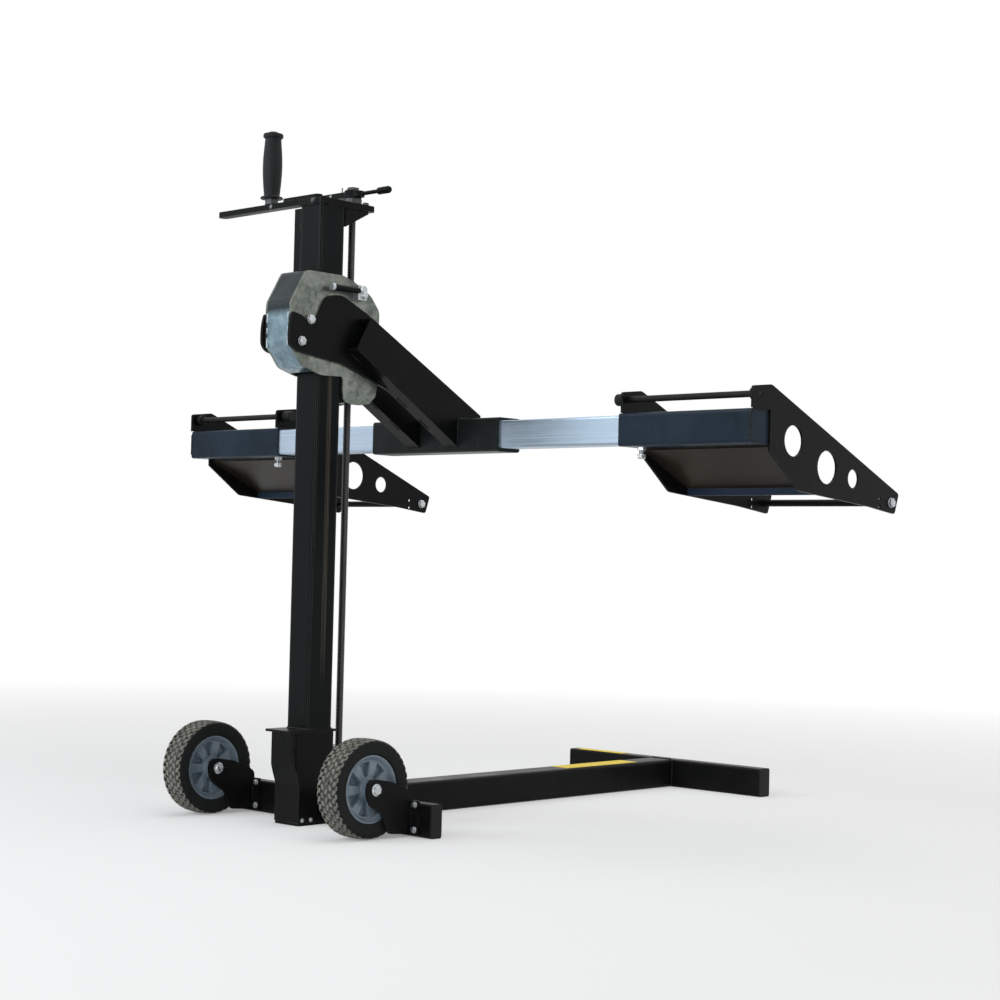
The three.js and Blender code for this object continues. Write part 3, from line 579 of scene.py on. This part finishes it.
boltSizes = {
    # the order of the five is used below
    "m6": {"across": 5.8, "head": 4.0, "washer": 7.2, "plate": 1.3, "shank": 3.0},
    "m8": {"across": 7.5, "head": 5.3, "washer": 9.0, "plate": 1.6, "shank": 4.0},
    "m12": {"across": 10.0, "head": 5.4, "washer": 10.6, "plate": 1.6, "shank": 6.0},
}
threadPitch = 1.4


def addHexHead(bm, axis, a, b, base, way, size, turn=0.2):
    # washer and chamfered head that stand on a face at base and point along way (+1 or -1)
    across, head, washer, plate, _ = size.values()
    seat = base + way * plate
    top = base + way * (plate + head)
    dish = across * 0.6
    addLathe(bm, axis, a, b, [(0, base), (washer, base), (washer, seat - way * plate * 0.2),
                              (washer - plate * 0.3, seat), (0, seat)], 28)
    addLathe(bm, axis, a, b, [(0, seat), (across, seat), (across, top - way * head * 0.22),
                              (across * 0.86, top), (0, top)], 6, start=turn)
    addLathe(bm, axis, a, b, [(0, top - way * 0.3), (dish, top - way * 0.3), (dish, top + way * 0.25),
                              (dish * 0.85, top + way * 0.45), (0, top + way * 0.45)], 20)


def addNutAndEnd(bm, axis, a, b, base, way, size, stub, turn=0.5):
    # washer, nut and the threaded end that stands out of it
    across, head, washer, plate, shank = size.values()
    seat = base + way * plate
    top = seat + way * head
    edge = way * head * 0.16
    addRod(bm, axis, a, b, base, seat, washer, 28)
    addLathe(bm, axis, a, b, [(0, seat), (across * 0.9, seat), (across, seat + edge), (across, top - edge),
                              (across * 0.9, top), (0, top)], 6, start=turn)
    turns = max(1, int(stub / threadPitch))
    profile = [(0, top)]
    for i in range(turns):
        low = top + way * i * threadPitch
        profile += [(shank * 0.86, low), (shank, low + way * threadPitch / 2)]
    end = top + way * turns * threadPitch
    addLathe(bm, axis, a, b, profile + [(shank * 0.8, end), (0, end)], 20)


def finishMesh(name, bm, material, body, replaced=(), bevel=None, angle=34):
    bmesh.ops.recalc_face_normals(bm, faces=bm.faces)
    mesh = bpy.data.meshes.new(name)
    bm.to_mesh(mesh)
    bm.free()
    mesh.materials.append(material)
    piece = newObject(name, mesh)
    softenEdges(piece, bevel, angle)
    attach(piece, body)
    if replaced:
        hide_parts(*replaced)


def softenEdges(piece, bevel, angle=34):
    mesh = piece.data
    mesh.polygons.foreach_set("use_smooth", [True] * len(mesh.polygons))
    mesh.set_sharp_from_angle(angle=math.radians(angle))
    if bevel:
        modifier = piece.modifiers.new("roundedEdges", "BEVEL")
        modifier.width = bevel * mm
        modifier.segments = 2
        modifier.limit_method = "ANGLE"
        modifier.angle_limit = math.radians(40)
        modifier.harden_normals = True


# ---- CAD nodes that keep their shape get their finish and a softened edge

nodeFinish = (
    # material, bevel, nodes; a star stands for left and right
    (mastPaint, 0.8, "mast_tube"),
    (basePaint, 1.0, "base_socket"),
    (basePaint, 0.8, "socket_collar", "base_plate"),
    (basePaint, 0.6, "base_leg", "front_foot", "rear_tube_*"),
    (capPlastic, 0.6, "foot_cap_*", "rear_cap_*"),
    (forkPaint, 0.9, "wheel_fork_*"),
    (blackPaint, 1.0, "top_bracket"),
    (blackPaint, 0.8, "stop_bar", "hook_plate_*", "arm_*"),
    (blackPaint, 0.7, "pan_plate_inner_*", "pan_plate_outer_*"),
    (darkSteel, 0.8, "top_bearing"),
    (darkSteel, 0.5, "grip_stud"),
    (zincPlate, 1.0, "screw_foot_bearing"),
    (zincPlate, 0.9, "side_plate_*"),
    (zincPlate, 0.6, "drive_nut"),
    (zincPlate, 0.4, "rear_roller_axle", "front_roller_axle"),
    (webZinc, 0.8, "rear_web"),
    (rollerPlastic, 0.8, "rear_roller", "front_roller"),
    (barSteel, 0.7, "inner_tube"),
    (centrePaint, 0.8, "centre_sleeve"),
    (sleevePaint, 0.7, "outer_sleeve_*"),
    (rampPaint, 0.7, "pan_ramp_*"),
)


def dressNodes(finishes):
    for material, bevel, *patterns in finishes:
        for pattern in patterns:
            for name in dict.fromkeys(pattern.replace("*", side) for side, _ in sides):
                node = nodes[name]
                node.data.materials.clear()
                node.data.materials.append(material)
                softenEdges(node, bevel)


dressNodes(nodeFinish)
print("CAD nodes are dressed")


# ---- wheels

def wheelPlace(side):
    low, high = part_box("wheel_tyre_" + side)
    centre = (low + high) / 2 / mm
    return centre, (high.z - low.z) / 2 / mm, (high.x - low.x) / 2 / mm


def addWheelPoint(bm, centre, x, angle, radius):
    y, z = centre.y + radius * math.cos(angle), centre.z + radius * math.sin(angle)
    return bm.verts.new(Vector((centre.x + x, y, z)) * mm)


def addMirroredLathe(bm, centre, rows, steps, middle=()):
    # rows hold (radius, half width), and are turned round the axle on both sides of the wheel's middle
    profile = [*rows, *middle, *((r, -x) for r, x in reversed(rows))]
    addLathe(bm, "x", centre.y, centre.z, [(r, centre.x + x) for r, x in profile], steps, loop=True)


tyreLook = {
    "rows": (-22.0, -11.0, 0.0, 11.0, 22.0),  # across the tread
    "around": 38,
    "blockWidth": 8.2,
    "blockLength": 11.4,
    "blockHeight": 3.6,
    "narrower": 0.7,  # each side of a block's top
    "shorter": 0.8,
    "slant": 3.2,
    "crownDrop": 1.9,
    "lugShare": 0.82,
    "wall": [(70, 25), (72, 27.6), (74, 28.4), (75, 27.9), (80, 29.3), (86, 30.2), (91, 30.4)],
    "wallTop": 95,
    "crownAcross": (20, 14, 7),
}


def makeTyre(side, look):
    centre, radius, half = wheelPlace(side)
    halfWidth, halfLength, around = look["blockWidth"] / 2, look["blockLength"] / 2, look["around"]
    bm = bmesh.new()

    def crownAt(across):
        return radius - look["blockHeight"] - look["crownDrop"] * (across / half) ** 2

    def addBlock(angle, place, lean):
        lower, upper = [], []
        for dx, dl in ((-1, -1), (1, -1), (1, 1), (-1, 1)):
            x, shift = place + dx * halfWidth, lean * dl * 0.5
            foot = crownAt(x) - 1.0
            lower.append(addWheelPoint(bm, centre, x + shift, angle + dl * halfLength / radius, foot))
            x += shift - dx * look["narrower"]
            top = radius - 0.1 - look["crownDrop"] * (x / half) ** 2
            reach = (halfLength - look["shorter"]) / radius
            upper.append(addWheelPoint(bm, centre, x, angle + dl * reach, top))
        addSkin(bm, [lower, upper], caps=True)

    # a lug wraps from the tread over the shoulder and down the wall
    lug = [(26.5, radius - 6.5), (26.5, radius - 1.9), (28.6, radius - 2.6), (30.6, radius - 6.5),
           (half - 0.1, radius - 11), (29.6, radius - 14.5), (28.0, radius - 12)]

    def addLug(angle, way):
        reach = halfLength * look["lugShare"] / radius
        rings = [[addWheelPoint(bm, centre, way * x, angle + dl * reach, r) for x, r in lug]
                 for dl in (-1, 1)]
        addSkin(bm, rings, caps=True)

    rows = look["wall"] + [(look["wallTop"], half - 1.6)]
    rows += [(crownAt(x), x) for x in (half - 3.2, *look["crownAcross"])]
    addMirroredLathe(bm, centre, rows, 72, middle=[(crownAt(0), 0)])
    for row, place in enumerate(look["rows"]):
        for i in range(around):
            lean = look["slant"] * (1 if row % 2 else -1)
            addBlock(2 * math.pi * (i + 0.5 * (row % 2)) / around, place, lean)
    for way in (-1, 1):
        for i in range(around):
            addLug(2 * math.pi * (i + 0.5) / around, way)
    finishMesh("wheel_tread_" + side, bm, tyreRubber, "wheel_" + side, ["wheel_tyre_" + side],
               angle=40)


rimLook = {
    "pockets": 7,
    "hub": 21.0,
    "inner": 25.5,
    "outer": 56.0,
    "edge": 59.0,
    "innerHalf": 3.2,  # half width of a pocket at its inner and outer end
    "outerHalf": 12.5,
    "face": 15.5,  # half thickness at a spoke
    "floor": 4.0,  # and at a pocket
    "crown": 1.4,
    "lip": 25.0,
    "wall": 1.6,
}


def makeRim(side, pockets, hub, inner, outer, edge, innerHalf, outerHalf, face, floor, crown, lip, wall):
    centre, _, _ = wheelPlace(side)
    bm = bmesh.new()
    rows = [(hub - 2, 0), (inner, 0), (inner + wall, 1), ((inner + outer) / 2, 1), (outer - wall, 1),
            (outer, 0), (edge, 0)]
    sheets = []
    for way in (-1, 1):
        rings = []
        for radius, deep in rows:
            share = min(max((radius - inner) / (outer - inner), 0), 1)
            half = innerHalf + (outerHalf - innerHalf) * share
            spoke = face + crown * math.sin(math.pi * share)
            columns = [(-math.pi / pockets, 0), (-(half + wall) / radius, 0), (-half / radius, 1), (0, 1),
                       (half / radius, 1), ((half + wall) / radius, 0)]
            rings.append([addWheelPoint(bm, centre, way * (floor if low and deep else spoke),
                                        2 * math.pi * i / pockets + turn, radius)
                          for i in range(pockets) for turn, low in columns])
        addSkin(bm, rings)
        sheets.append(rings)
    for k in (0, -1):
        addSkin(bm, [rings[k] for rings in sheets])
    addMirroredLathe(bm, centre, [(edge - 1.5, 16.2), (edge + 0.2, 16.4), (edge + 6.0, lip - 0.8),
                                  (edge + 7.2, lip), (69.0, lip), (69.6, lip - 0.7)], 84)
    addMirroredLathe(bm, centre, [(7.4, 33.2), (19.2, 33.2), (20.4, 32.0), (20.8, face + 1.2),
                                  (22.8, face - 1.0)], 48)
    finishMesh("wheel_disc_" + side, bm, rimPlastic, "wheel_" + side, ["wheel_rim_" + side],
               bevel=0.4, angle=30)


axleLook = {
    "bolt": {"across": 10.6, "head": 5.0, "washer": 12.6, "plate": 1.8, "shank": 6.3},
    "nutHead": 4.2, "inset": 7.0, "sink": 0.2,
}


def makeAxle(side, look):
    low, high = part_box("wheel_axle_" + side)
    centre, _, _ = wheelPlace(side)
    x, y, z = centre
    seat = (high.x - low.x) / 2 / mm - look["inset"]
    bolt, face = look["bolt"], seat - look["sink"]
    bm = bmesh.new()
    addRod(bm, "x", y, z, x - seat, x + seat, bolt["shank"])
    addHexHead(bm, "x", y, z, x + face, 1, bolt, turn=0.3)
    addNutAndEnd(bm, "x", y, z, x - face, -1, {**bolt, "head": look["nutHead"]}, stub=0.9)
    finishMesh("axle_bolt_" + side, bm, boltZinc, "base", ["wheel_axle_" + side])


for side, _ in sides:
    makeTyre(side, tyreLook)
    makeRim(side, **rimLook)
    makeAxle(side, axleLook)
print("wheels are made")


# ---- lead screw and crank

screwLook = {
    "radius": 7.85, "root": 6.5, "end": 7.2, "lead": 5.08, "steps": 20, "rows": 6, "smoothTop": 1334.0,
}


def makeScrew(radius, root, end, lead, steps, rows, smoothTop):
    low, high, middle = inMm(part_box("lead_screw"))
    y, bottom, top = middle.y, low.z, high.z
    bm = bmesh.new()
    rings = []
    z = bottom + 1.5
    while z < smoothTop:
        phases = [(z / lead - k / steps) % 1.0 for k in range(steps)]
        ramps = [min(abs(phase - 0.5) * 4, 1.0) for phase in phases]
        rings.append(addRing(bm, "z", 0, y, z, [root + (radius - root) * ramp for ramp in ramps]))
        z += lead / rows
    addSkin(bm, rings, caps=True)
    start = smoothTop - 4
    addLathe(bm, "z", 0, y, [(0, start), (radius, start), (radius, top - 0.6), (end, top), (0, top)], 24)
    addRod(bm, "z", 0, y, bottom, bottom + 4, end)
    finishMesh("screw_thread", bm, darkSteel, "crank", ["lead_screw"], angle=50)


crankLook = {
    "screw": {"across": 4.0, "head": 0.9, "washer": 4.8, "plate": 0.5, "shank": 2.0},
    "nut": {"across": 13.8, "head": 5.0, "washer": 13.9, "plate": 1.6, "shank": 7.0},
    "screws": (-60, -263),
    "pin": -35,
    "y": 86.0, "low": 1356.9, "high": 1369.9, "back": -457.0, "front": 32.0, "half": 12.5,
    "hub": 19.0, "hubLow": 1354.0, "bore": 8.2,
    "rodZ": 1363.4, "rod": 4.4, "tip": 7.9, "tipFrom": 81.0, "tipTo": 119.0,
    "plateFrom": -228.0, "plateTo": -105.0, "plateTop": 1377.8,
}


def roundEnds(x0, x1, y, half, steps=10):
    points = []
    for centre, start in ((x1 - half, -math.pi / 2), (x0 + half, math.pi / 2)):
        for k in range(steps + 1):
            angle = start + math.pi * k / steps
            points.append((centre + half * math.cos(angle), y + half * math.sin(angle)))
    return points


def makeCrank(screw, nut, screws, pin, y, low, high, back, front, half, hub, hubLow, bore,
              rodZ, rod, tip, tipFrom, tipTo, plateFrom, plateTo, plateTop):
    bm = bmesh.new()
    inset = half - 1.5
    addPrism(bm, "z", roundEnds(back, front, y, half), low, high)
    addPrism(bm, "z", roundEnds(plateFrom, plateTo, y, inset), high - 1, plateTop)
    addLathe(bm, "z", 0, y, [(bore, hubLow), (hub, hubLow), (hub, high + 1.2), (hub - 1.5, high + 2.4),
                             (bore, high + 2.4)], 40, loop=True)
    addLathe(bm, "x", y, rodZ, [
        (0, front - 8), (rod, front - 8), (rod, tipFrom + 1), (tip - 1.2, tipFrom + 1), (tip, tipFrom + 3),
        (tip, tipTo - 5), (tip - 2.2, tipTo - 0.8), (0, tipTo),
    ], 28)
    finishMesh("crank_bar", bm, crankPaint, "crank", ["crank_arm"], bevel=1.0)

    bm = bmesh.new()
    for x0, x1 in ((plateFrom + 12, plateFrom + 44), (plateTo - 44, plateTo - 12)):
        for way in (-1, 1):
            edge = y + way * (inset + 0.2)
            addWeld(bm, [(x, edge, high + 0.6) for x in (x0, x1)], radius=1.7)
    bead = 4.6
    addWeld(bm, [(front + 0.4, y + bead * math.cos(t), rodZ + bead * math.sin(t))
                 for t in (k * math.pi / 8 for k in range(16))], radius=1.5, closed=True)
    finishMesh("crank_welds", bm, crankPaint, "crank")

    bm = bmesh.new()
    addNutAndEnd(bm, "z", 0, y, high + 2.5, 1, nut, stub=1.5)
    finishMesh("crank_top_nut", bm, darkSteel, "crank", ["crank_nut"])

    # a pin and two small screws on the bar
    bm = bmesh.new()
    addLathe(bm, "z", pin, y, [(0, high - 1), (1.5, high - 1), (1.5, high + 12), (1.0, high + 13),
                               (0, high + 13)], 16)
    for x in screws:
        addHexHead(bm, "y", rodZ, x, y - half + 0.2, -1, screw)
    finishMesh("crank_pin", bm, zincPlate, "crank")


gripLook = {
    "ribs": 20,
    "ribDepth": 0.45,
    "steps": 80,
    "profile": (  # radius, share of the height, whether the lengthwise ribs show
        (7.0, 0, 0), (25.0, 0, 0), (25.9, 0.008, 0), (25.9, 0.022, 0), (24.6, 0.03, 0), (19.0, 0.038, 0),
        (18.0, 0.055, 0), (18.2, 0.075, 1), (19.2, 0.13, 1), (20.8, 0.25, 1), (22.0, 0.38, 1), (22.4, 0.5, 1),
        (22.0, 0.62, 1), (20.8, 0.74, 1), (19.4, 0.84, 1), (18.8, 0.9, 1), (18.6, 0.915, 0),
        (19.2, 0.925, 0), (22.2, 0.94, 0), (22.9, 0.95, 0), (22.9, 0.985, 0), (21.6, 0.999, 0), (14, 1, 0),
        (7.0, 1, 0),
    ),
}


def makeGrip(look):
    low, high, middle = inMm(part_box("crank_grip"))
    turns = [2 * math.pi * k / look["steps"] * look["ribs"] for k in range(look["steps"])]
    cuts = [look["ribDepth"] * (0.5 - 0.5 * math.cos(turn)) for turn in turns]
    bm = bmesh.new()
    rings = [addRing(bm, "z", middle.x, middle.y, low.z + (high.z - low.z) * share,
                     [radius - cut * ribbed for cut in cuts]) for radius, share, ribbed in look["profile"]]
    addSkin(bm, rings, loop=True)
    finishMesh("grip_sleeve", bm, gripPlastic, "grip", ["crank_grip"], angle=50)


makeScrew(**screwLook)
makeCrank(**crankLook)
makeGrip(gripLook)
print("screw and crank are made")


# ---- carriage bolts, retaining pin and weld beads of the web

throughBolt = {
    "nodes": ("arm_pivot_bolt", "arm_hook_bolt"),
    "reach": 47.6,  # |X| of the faces that the bolt clamps
    "rod": 5.9, "across": 9.8, "washer": 9.9, "headGap": 1.9, "nutGap": 3.3,
}


def makeThroughBolt(node, look):
    _, high, middle = inMm(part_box(node))
    y, z, reach = middle.y, middle.z, look["reach"]
    head = high.x - reach
    changes = {"across": look["across"], "head": head - look["headGap"], "washer": look["washer"]}
    size = {**boltSizes["m12"], **changes}
    bm = bmesh.new()
    addRod(bm, "x", y, z, -reach, reach, look["rod"])
    addHexHead(bm, "x", y, z, reach, 1, size, turn=0.15)
    addNutAndEnd(bm, "x", y, z, -reach, -1, {**size, "head": head - look["nutGap"]}, stub=1.4)
    finishMesh(node + "_set", bm, boltZinc, "carriage", [node])


pinLook = {
    "x": 60.0, "z": 1145.0, "radius": 6.8, "start": -16.0, "end": 54.0, "head": 9.0,
    "seatX": 41.7, "boltSink": 6.6, "washer": 8.4,
}


def makeRetainingPin(x, z, radius, start, end, head, seatX, boltSink, washer):
    low, high, _ = inMm(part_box("retaining_pin"))
    face, back = low.y, high.y
    bm = bmesh.new()
    addLathe(bm, "y", z, x, [(0, start - 1), (radius, start - 1), (radius, end - 6), (radius - 1.2, end + 4),
                             (0, end + 4)], 28)
    finishMesh("pin_rod", bm, blackPaint, "carriage")

    bm = bmesh.new()
    addLathe(bm, "y", z, x, [(0, face), (head - 1.6, face), (head - 0.2, face + 1.4), (head - 0.2, start - 1),
                             (radius, start + 0.4), (0, start + 0.4)], 32)
    seat = [(end, z - 20), (back - 3, z - 20), (back, z - 16), (back, z + 7), (back - 5, z + 12),
            (end + 2, z + 12), (end, z + 9)]
    addPrism(bm, "x", seat, seatX, high.x - boltSink + 0.1)
    for y, height in ((end + 8, z + 4), (back - 10, z - 9)):
        addHexHead(bm, "x", y, height, high.x - boltSink, 1, {**boltSizes["m8"], "washer": washer}, turn=0.4)
    finishMesh("pin_lug", bm, boltZinc, "carriage", ["retaining_pin"], bevel=0.5)


webWelds = {"x": 33.4, "y": -118.1, "radius": 2.9, "runs": ((1010, 1030), (1040, 1052), (1064, 1083))}


def makeWebWelds(look):
    bm = bmesh.new()
    for _, hand in sides:
        for run in look["runs"]:
            addWeld(bm, [(hand * look["x"], look["y"], z) for z in run], radius=look["radius"])
    finishMesh("web_welds", bm, weldZinc, "carriage")


for node in throughBolt["nodes"]:
    makeThroughBolt(node, throughBolt)
makeRetainingPin(**pinLook)
makeWebWelds(webWelds)


# ---- pan rods and lock bolts

tipLook = {
    "spacer": 7.8, "inset": 7, "seat": 8,
    "bolt": {"across": 10.4, "head": 5.6, "washer": 10.9, "plate": 1.8, "shank": 5.0},
}


def makeTipRod(side, look):
    low, high, middle = inMm(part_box("tip_rod_" + side))
    y, z, inset, seat = middle.y, middle.z, look["inset"], look["seat"]
    bm = bmesh.new()
    addRod(bm, "x", y, z, low.x + inset, high.x - inset, look["spacer"], 28)
    finishMesh("tip_spacer_" + side, bm, blackPaint, "pan_" + side)
    bm = bmesh.new()
    addHexHead(bm, "x", y, z, high.x - seat, 1, look["bolt"], turn=0.25)
    addHexHead(bm, "x", y, z, low.x + seat, -1, look["bolt"], turn=0.1)
    finishMesh("tip_bolt_" + side, bm, boltZinc, "pan_" + side, ["tip_rod_" + side])


stopLook = {
    "rod": 6.8, "end": 12.8, "grip": 29.5, "collarFrom": 20.2, "collarTo": 5.6,
    "grooves": 4, "grooveFrom": 7, "groovePitch": 4.6,
}


def makeStopRod(side, hand, rod, end, grip, collarFrom, collarTo, grooves, grooveFrom, groovePitch):
    low, high, middle = inMm(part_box("stop_rod_" + side))
    inner, outer = (low.x, high.x) if hand > 0 else (high.x, low.x)
    reach = high.x - low.x
    bm = bmesh.new()

    def addTurned(base, rows, **settings):
        # rows hold (radius, distance outwards from base)
        profile = [(radius, base + hand * out) for radius, out in rows]
        addLathe(bm, "x", middle.y, middle.z, profile, **settings)

    addTurned(inner, [(0, 0), (end - 2, 0), (end, 2), (end, grip - 2.5), (end - 2, grip), (rod, grip),
                      (rod, reach - 6), (rod - 1, reach - 0.5), (0, reach - 0.5)])
    addTurned(outer, [(rod, -collarFrom), (end - 1, -collarFrom), (end, 1.2 - collarFrom),
                      (end, -1.4 - collarTo), (end - 1, -collarTo), (rod, -collarTo)], loop=True)
    for k in range(grooves):
        addTurned(inner + hand * (grooveFrom + groovePitch * k),
                  [(end - 0.5, -1.1), (end + 0.2, -0.8), (end + 0.2, 0.8), (end - 0.5, 1.1)], loop=True)
    finishMesh("stop_pin_" + side, bm, capPlastic, "pan_" + side, ["stop_rod_" + side],
               bevel=0.3)


lockLook = {
    "bolt": {"across": 9.8, "head": 7.0, "washer": 9.9, "plate": 1.7, "shank": 6.0},
    "crest": 5.9, "root": 5.1, "pitch": 1.75, "threadLow": 10,
}


def makeLockBolt(side, look):
    low, high, middle = inMm(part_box("lock_bolt_" + side))
    x, y, bottom, z = middle.x, middle.y, low.z, high.z
    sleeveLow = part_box("outer_sleeve_" + side)[0].z / mm
    crest = look["crest"]
    bm = bmesh.new()
    addHexHead(bm, "z", x, y, bottom + 9.2, -1, look["bolt"])
    profile = [(0, z), (crest, z)]
    while z > bottom + look["threadLow"]:
        profile += [(crest, z), (look["root"], z - 0.8), (crest, z - 1.6)]
        z -= look["pitch"]
    addLathe(bm, "z", x, y, profile + [(crest, bottom + 9), (0, bottom + 9)], 24)
    nut = [(6.2, -7.4), (8.6, -7.4), (9.9, -6.6), (9.9, 0.2), (6.2, 0.2)]
    addLathe(bm, "z", x, y, [(radius, sleeveLow + up) for radius, up in nut], 6, loop=True, start=0.4)
    finishMesh("clamp_bolt_" + side, bm, boltZinc, "pan_" + side, ["lock_bolt_" + side])


for side, hand in sides:
    makeTipRod(side, tipLook)
    makeStopRod(side, hand, **stopLook)
    makeLockBolt(side, lockLook)
print("carriage and pan fittings are made")


# ---- weld beads

baseWelds = {
    "mast": 35.1, "collarTop": 201.8, "socket": 39.2, "front": 39.4, "leg": 35.1, "top": 70.2,
    "rear": 30.3, "ahead": 60.7, "rearInner": 37.4, "foot": 1210.2,
    "bracketLow": 1284.0, "bracketX": 31.0, "high": 1324.2, "stopHalf": 30.3,
    "stopRuns": ((1182, 1222), (1270, 1312)),
}


def squareRing(half, corner):
    # a square with cut corners, as (x, y)
    c = half - corner
    near = half - corner * 0.3
    quarter = [(-half, -c), (-near, -near), (-c, -half), (c, -half), (near, -near), (half, -c)]
    return quarter + [(-x, -y) for x, y in quarter]


def makeBaseWelds(mast, collarTop, socket, front, leg, top, rear, ahead, rearInner, foot,
                  bracketLow, bracketX, high, stopHalf, stopRuns):
    bm = bmesh.new()
    addWeld(bm, [(x, y, collarTop + 0.6) for x, y in squareRing(mast, 8)], closed=True)
    for y in (front + 0.4, foot - 0.4):
        addWeld(bm, [(-leg, y, 4), (-leg, y, top - 5), (5 - leg, y, top), (leg - 5, y, top),
                     (leg, y, top - 5), (leg, y, 4)])
    for _, hand in sides:
        x, inner, bracket = hand * socket, hand * rearInner, hand * bracketX
        addWeld(bm, [(x, rear, 5), (x, rear, top - 5), (x, rear + 4, top), (x, front, top)], radius=2.0)
        addWeld(bm, [(inner, front + 2, top - 1), (inner, ahead - 4, top - 1), (inner, ahead, top - 5),
                     (inner, ahead, 4)], radius=2.6)
        addWeld(bm, [(bracket, mast + 0.4, z) for z in (bracketLow + 2, high)], radius=2.0)
        addWeld(bm, [(hand * mast, y, high) for y in (-27, 27)], radius=1.9)
        for run in stopRuns:
            addWeld(bm, [(-mast - 0.6, hand * stopHalf, z) for z in run], radius=1.9)
    addWeld(bm, [(x, -mast, high) for x in (-27, 27)], radius=1.9)
    finishMesh("base_welds", bm, basePaint, "base")


armWelds = {
    "rearY": 77.0, "rearZ": 1087.4, "slope": 28.6, "depth": 82.0, "taper": 0.05, "inner": 47.5, "outer": 80.3,
    "back": 350.5, "high": 888.3, "low": 811.9, "starts": (14, 96, 178, 260), "run": 34, "sleeveX": (48, 78),
}


def makeArmWelds(rearY, rearZ, slope, depth, taper, inner, outer, back, high, low, starts, run, sleeveX):
    slope = math.radians(slope)
    bm = bmesh.new()

    def armPoint(x, along, below):
        return (x, rearY + along * math.cos(slope) - below * math.sin(slope),
                rearZ - along * math.sin(slope) - below * math.cos(slope))

    for _, hand in sides:
        for start in starts:
            for share in (0, 1):
                ends = [armPoint(hand * inner, along, share * (depth + taper * along))
                        for along in (start, start + run)]
                if ends[1][1] < back - 6:
                    addWeld(bm, ends, radius=1.6)
        x = hand * outer
        addWeld(bm, [(x, back - 0.4, low + 14), (x, back - 0.4, high - 2), (x, back + 14, high + 0.6),
                     (x, back + 34, high + 0.6)])
        addWeld(bm, [(hand * x, back - 0.5, high + 0.2) for x in sleeveX], radius=2.0)
    finishMesh("arm_welds", bm, blackPaint, "carriage")


panWelds = {
    "inner": 558.15, "back": 552.85, "outer": 888.15,
    "front": 424.2, "rear": 353.9, "top": 885.1, "low": 814.9, "rampRun": 153.0, "rampFall": 74.0,
}
plugLook = {"out": 888.0, "depth": 8.0, "half": 30.6, "corner": 4.0, "y": 389.05, "z": 850.0}


def makePanWelds(side, hand, inner, back, outer, front, rear, top, low, rampRun, rampFall):
    bm = bmesh.new()
    inner, back, outer = hand * inner, hand * back, hand * outer
    for x in (inner, back):
        addWeld(bm, [(x, front, low + 8), (x, front, top - 8)], radius=1.9)
        addWeld(bm, [(x, rear + 10, top), (x, front - 10, top)], radius=1.9)
    addWeld(bm, [(outer, rear + 10, top), (outer, front - 10, top)], radius=1.9)
    addWeld(bm, [(outer, rear, top - 10), (outer, rear, low + 10)], radius=1.7)
    for x in (inner, outer):
        addWeld(bm, [(x, front + 3, low - 1), (x, front + 3 + rampRun, low - 1 - rampFall)], radius=1.3)
    addWeld(bm, [(x, front - 2, low) for x in (inner, outer)], radius=1.5)
    finishMesh("pan_welds_" + side, bm, blackPaint, "pan_" + side)


def makePanPlug(side, hand, out, depth, half, corner, y, z):
    # the folded end of the sleeve shows as a closed face beside the outer plate
    bm = bmesh.new()
    near = half - corner
    outline = [(y + a, z + b) for a, b in ((-near, -half), (near, -half), (half, -near), (half, near),
                                           (near, half), (-near, half), (-half, near), (-half, -near))]
    addPrism(bm, "x", outline, *sorted((hand * out, hand * (out - depth))))
    finishMesh("sleeve_plug_" + side, bm, sleevePaint, "pan_" + side)


makeBaseWelds(**baseWelds)
makeArmWelds(**armWelds)
for side, hand in sides:
    makePanWelds(side, hand, **panWelds)
    makePanPlug(side, hand, **plugLook)
print("welds are laid")


# ---- base fittings: bolts of the forks, the socket and the top bracket, and tape

baseBolts = {
    "across": 50.5, "low": 15.5, "high": 66.5, "face": 25.4,
    "small": {"across": 3.8, "head": 2.6, "washer": 4.8, "plate": 1.0, "shank": 2.0},
    "smallX": 39.0, "smallYs": (-48, -24), "smallZ": 12,
    "rear": (14, -38.9, 1331.8), "rearWasher": 6.4, "top": (27, 100, 1338.2),  # x, y, z
}


def makeBaseBolts(look):
    bm = bmesh.new()
    for side, _ in sides:
        centre, _, _ = wheelPlace(side)
        for way in (-1, 1):
            for z in (look["low"], look["high"]):
                x = centre.x + way * look["across"]
                addHexHead(bm, "y", z, x, look["face"], -1, boltSizes["m6"], turn=0.3)
    for y in look["smallYs"]:
        addHexHead(bm, "x", y, look["smallZ"], look["smallX"], 1, look["small"], turn=0.1)
    finishMesh("base_bolts", bm, boltZinc, "base")

    bm = bmesh.new()
    x, y, z = look["rear"]
    addHexHead(bm, "y", z, x, y, -1, {**boltSizes["m6"], "washer": look["rearWasher"]})
    x, y, z = look["top"]
    for _, hand in sides:
        addHexHead(bm, "z", hand * x, y, z, 1, boltSizes["m8"])
    finishMesh("bracket_bolts", bm, darkSteel, "base")


tapeLook = {
    "thick": 0.35,
    "z": 70.05,
    "strips": ((-28.0, 29.0, 812.0, 1078.0), (-292.0, -138.0, 1214.0, 1245.0)),  # low and high X, then Y
}


def makeTape(look):
    bm = bmesh.new()
    for x0, x1, y0, y1 in look["strips"]:
        addPrism(bm, "z", [(x0, y0), (x1, y0), (x1, y1), (x0, y1)], look["z"], look["z"] + look["thick"])
    finishMesh("safety_tape", bm, yellowTape, "base")


makeBaseBolts(baseBolts)
makeTape(tapeLook)
print("base fittings are made")
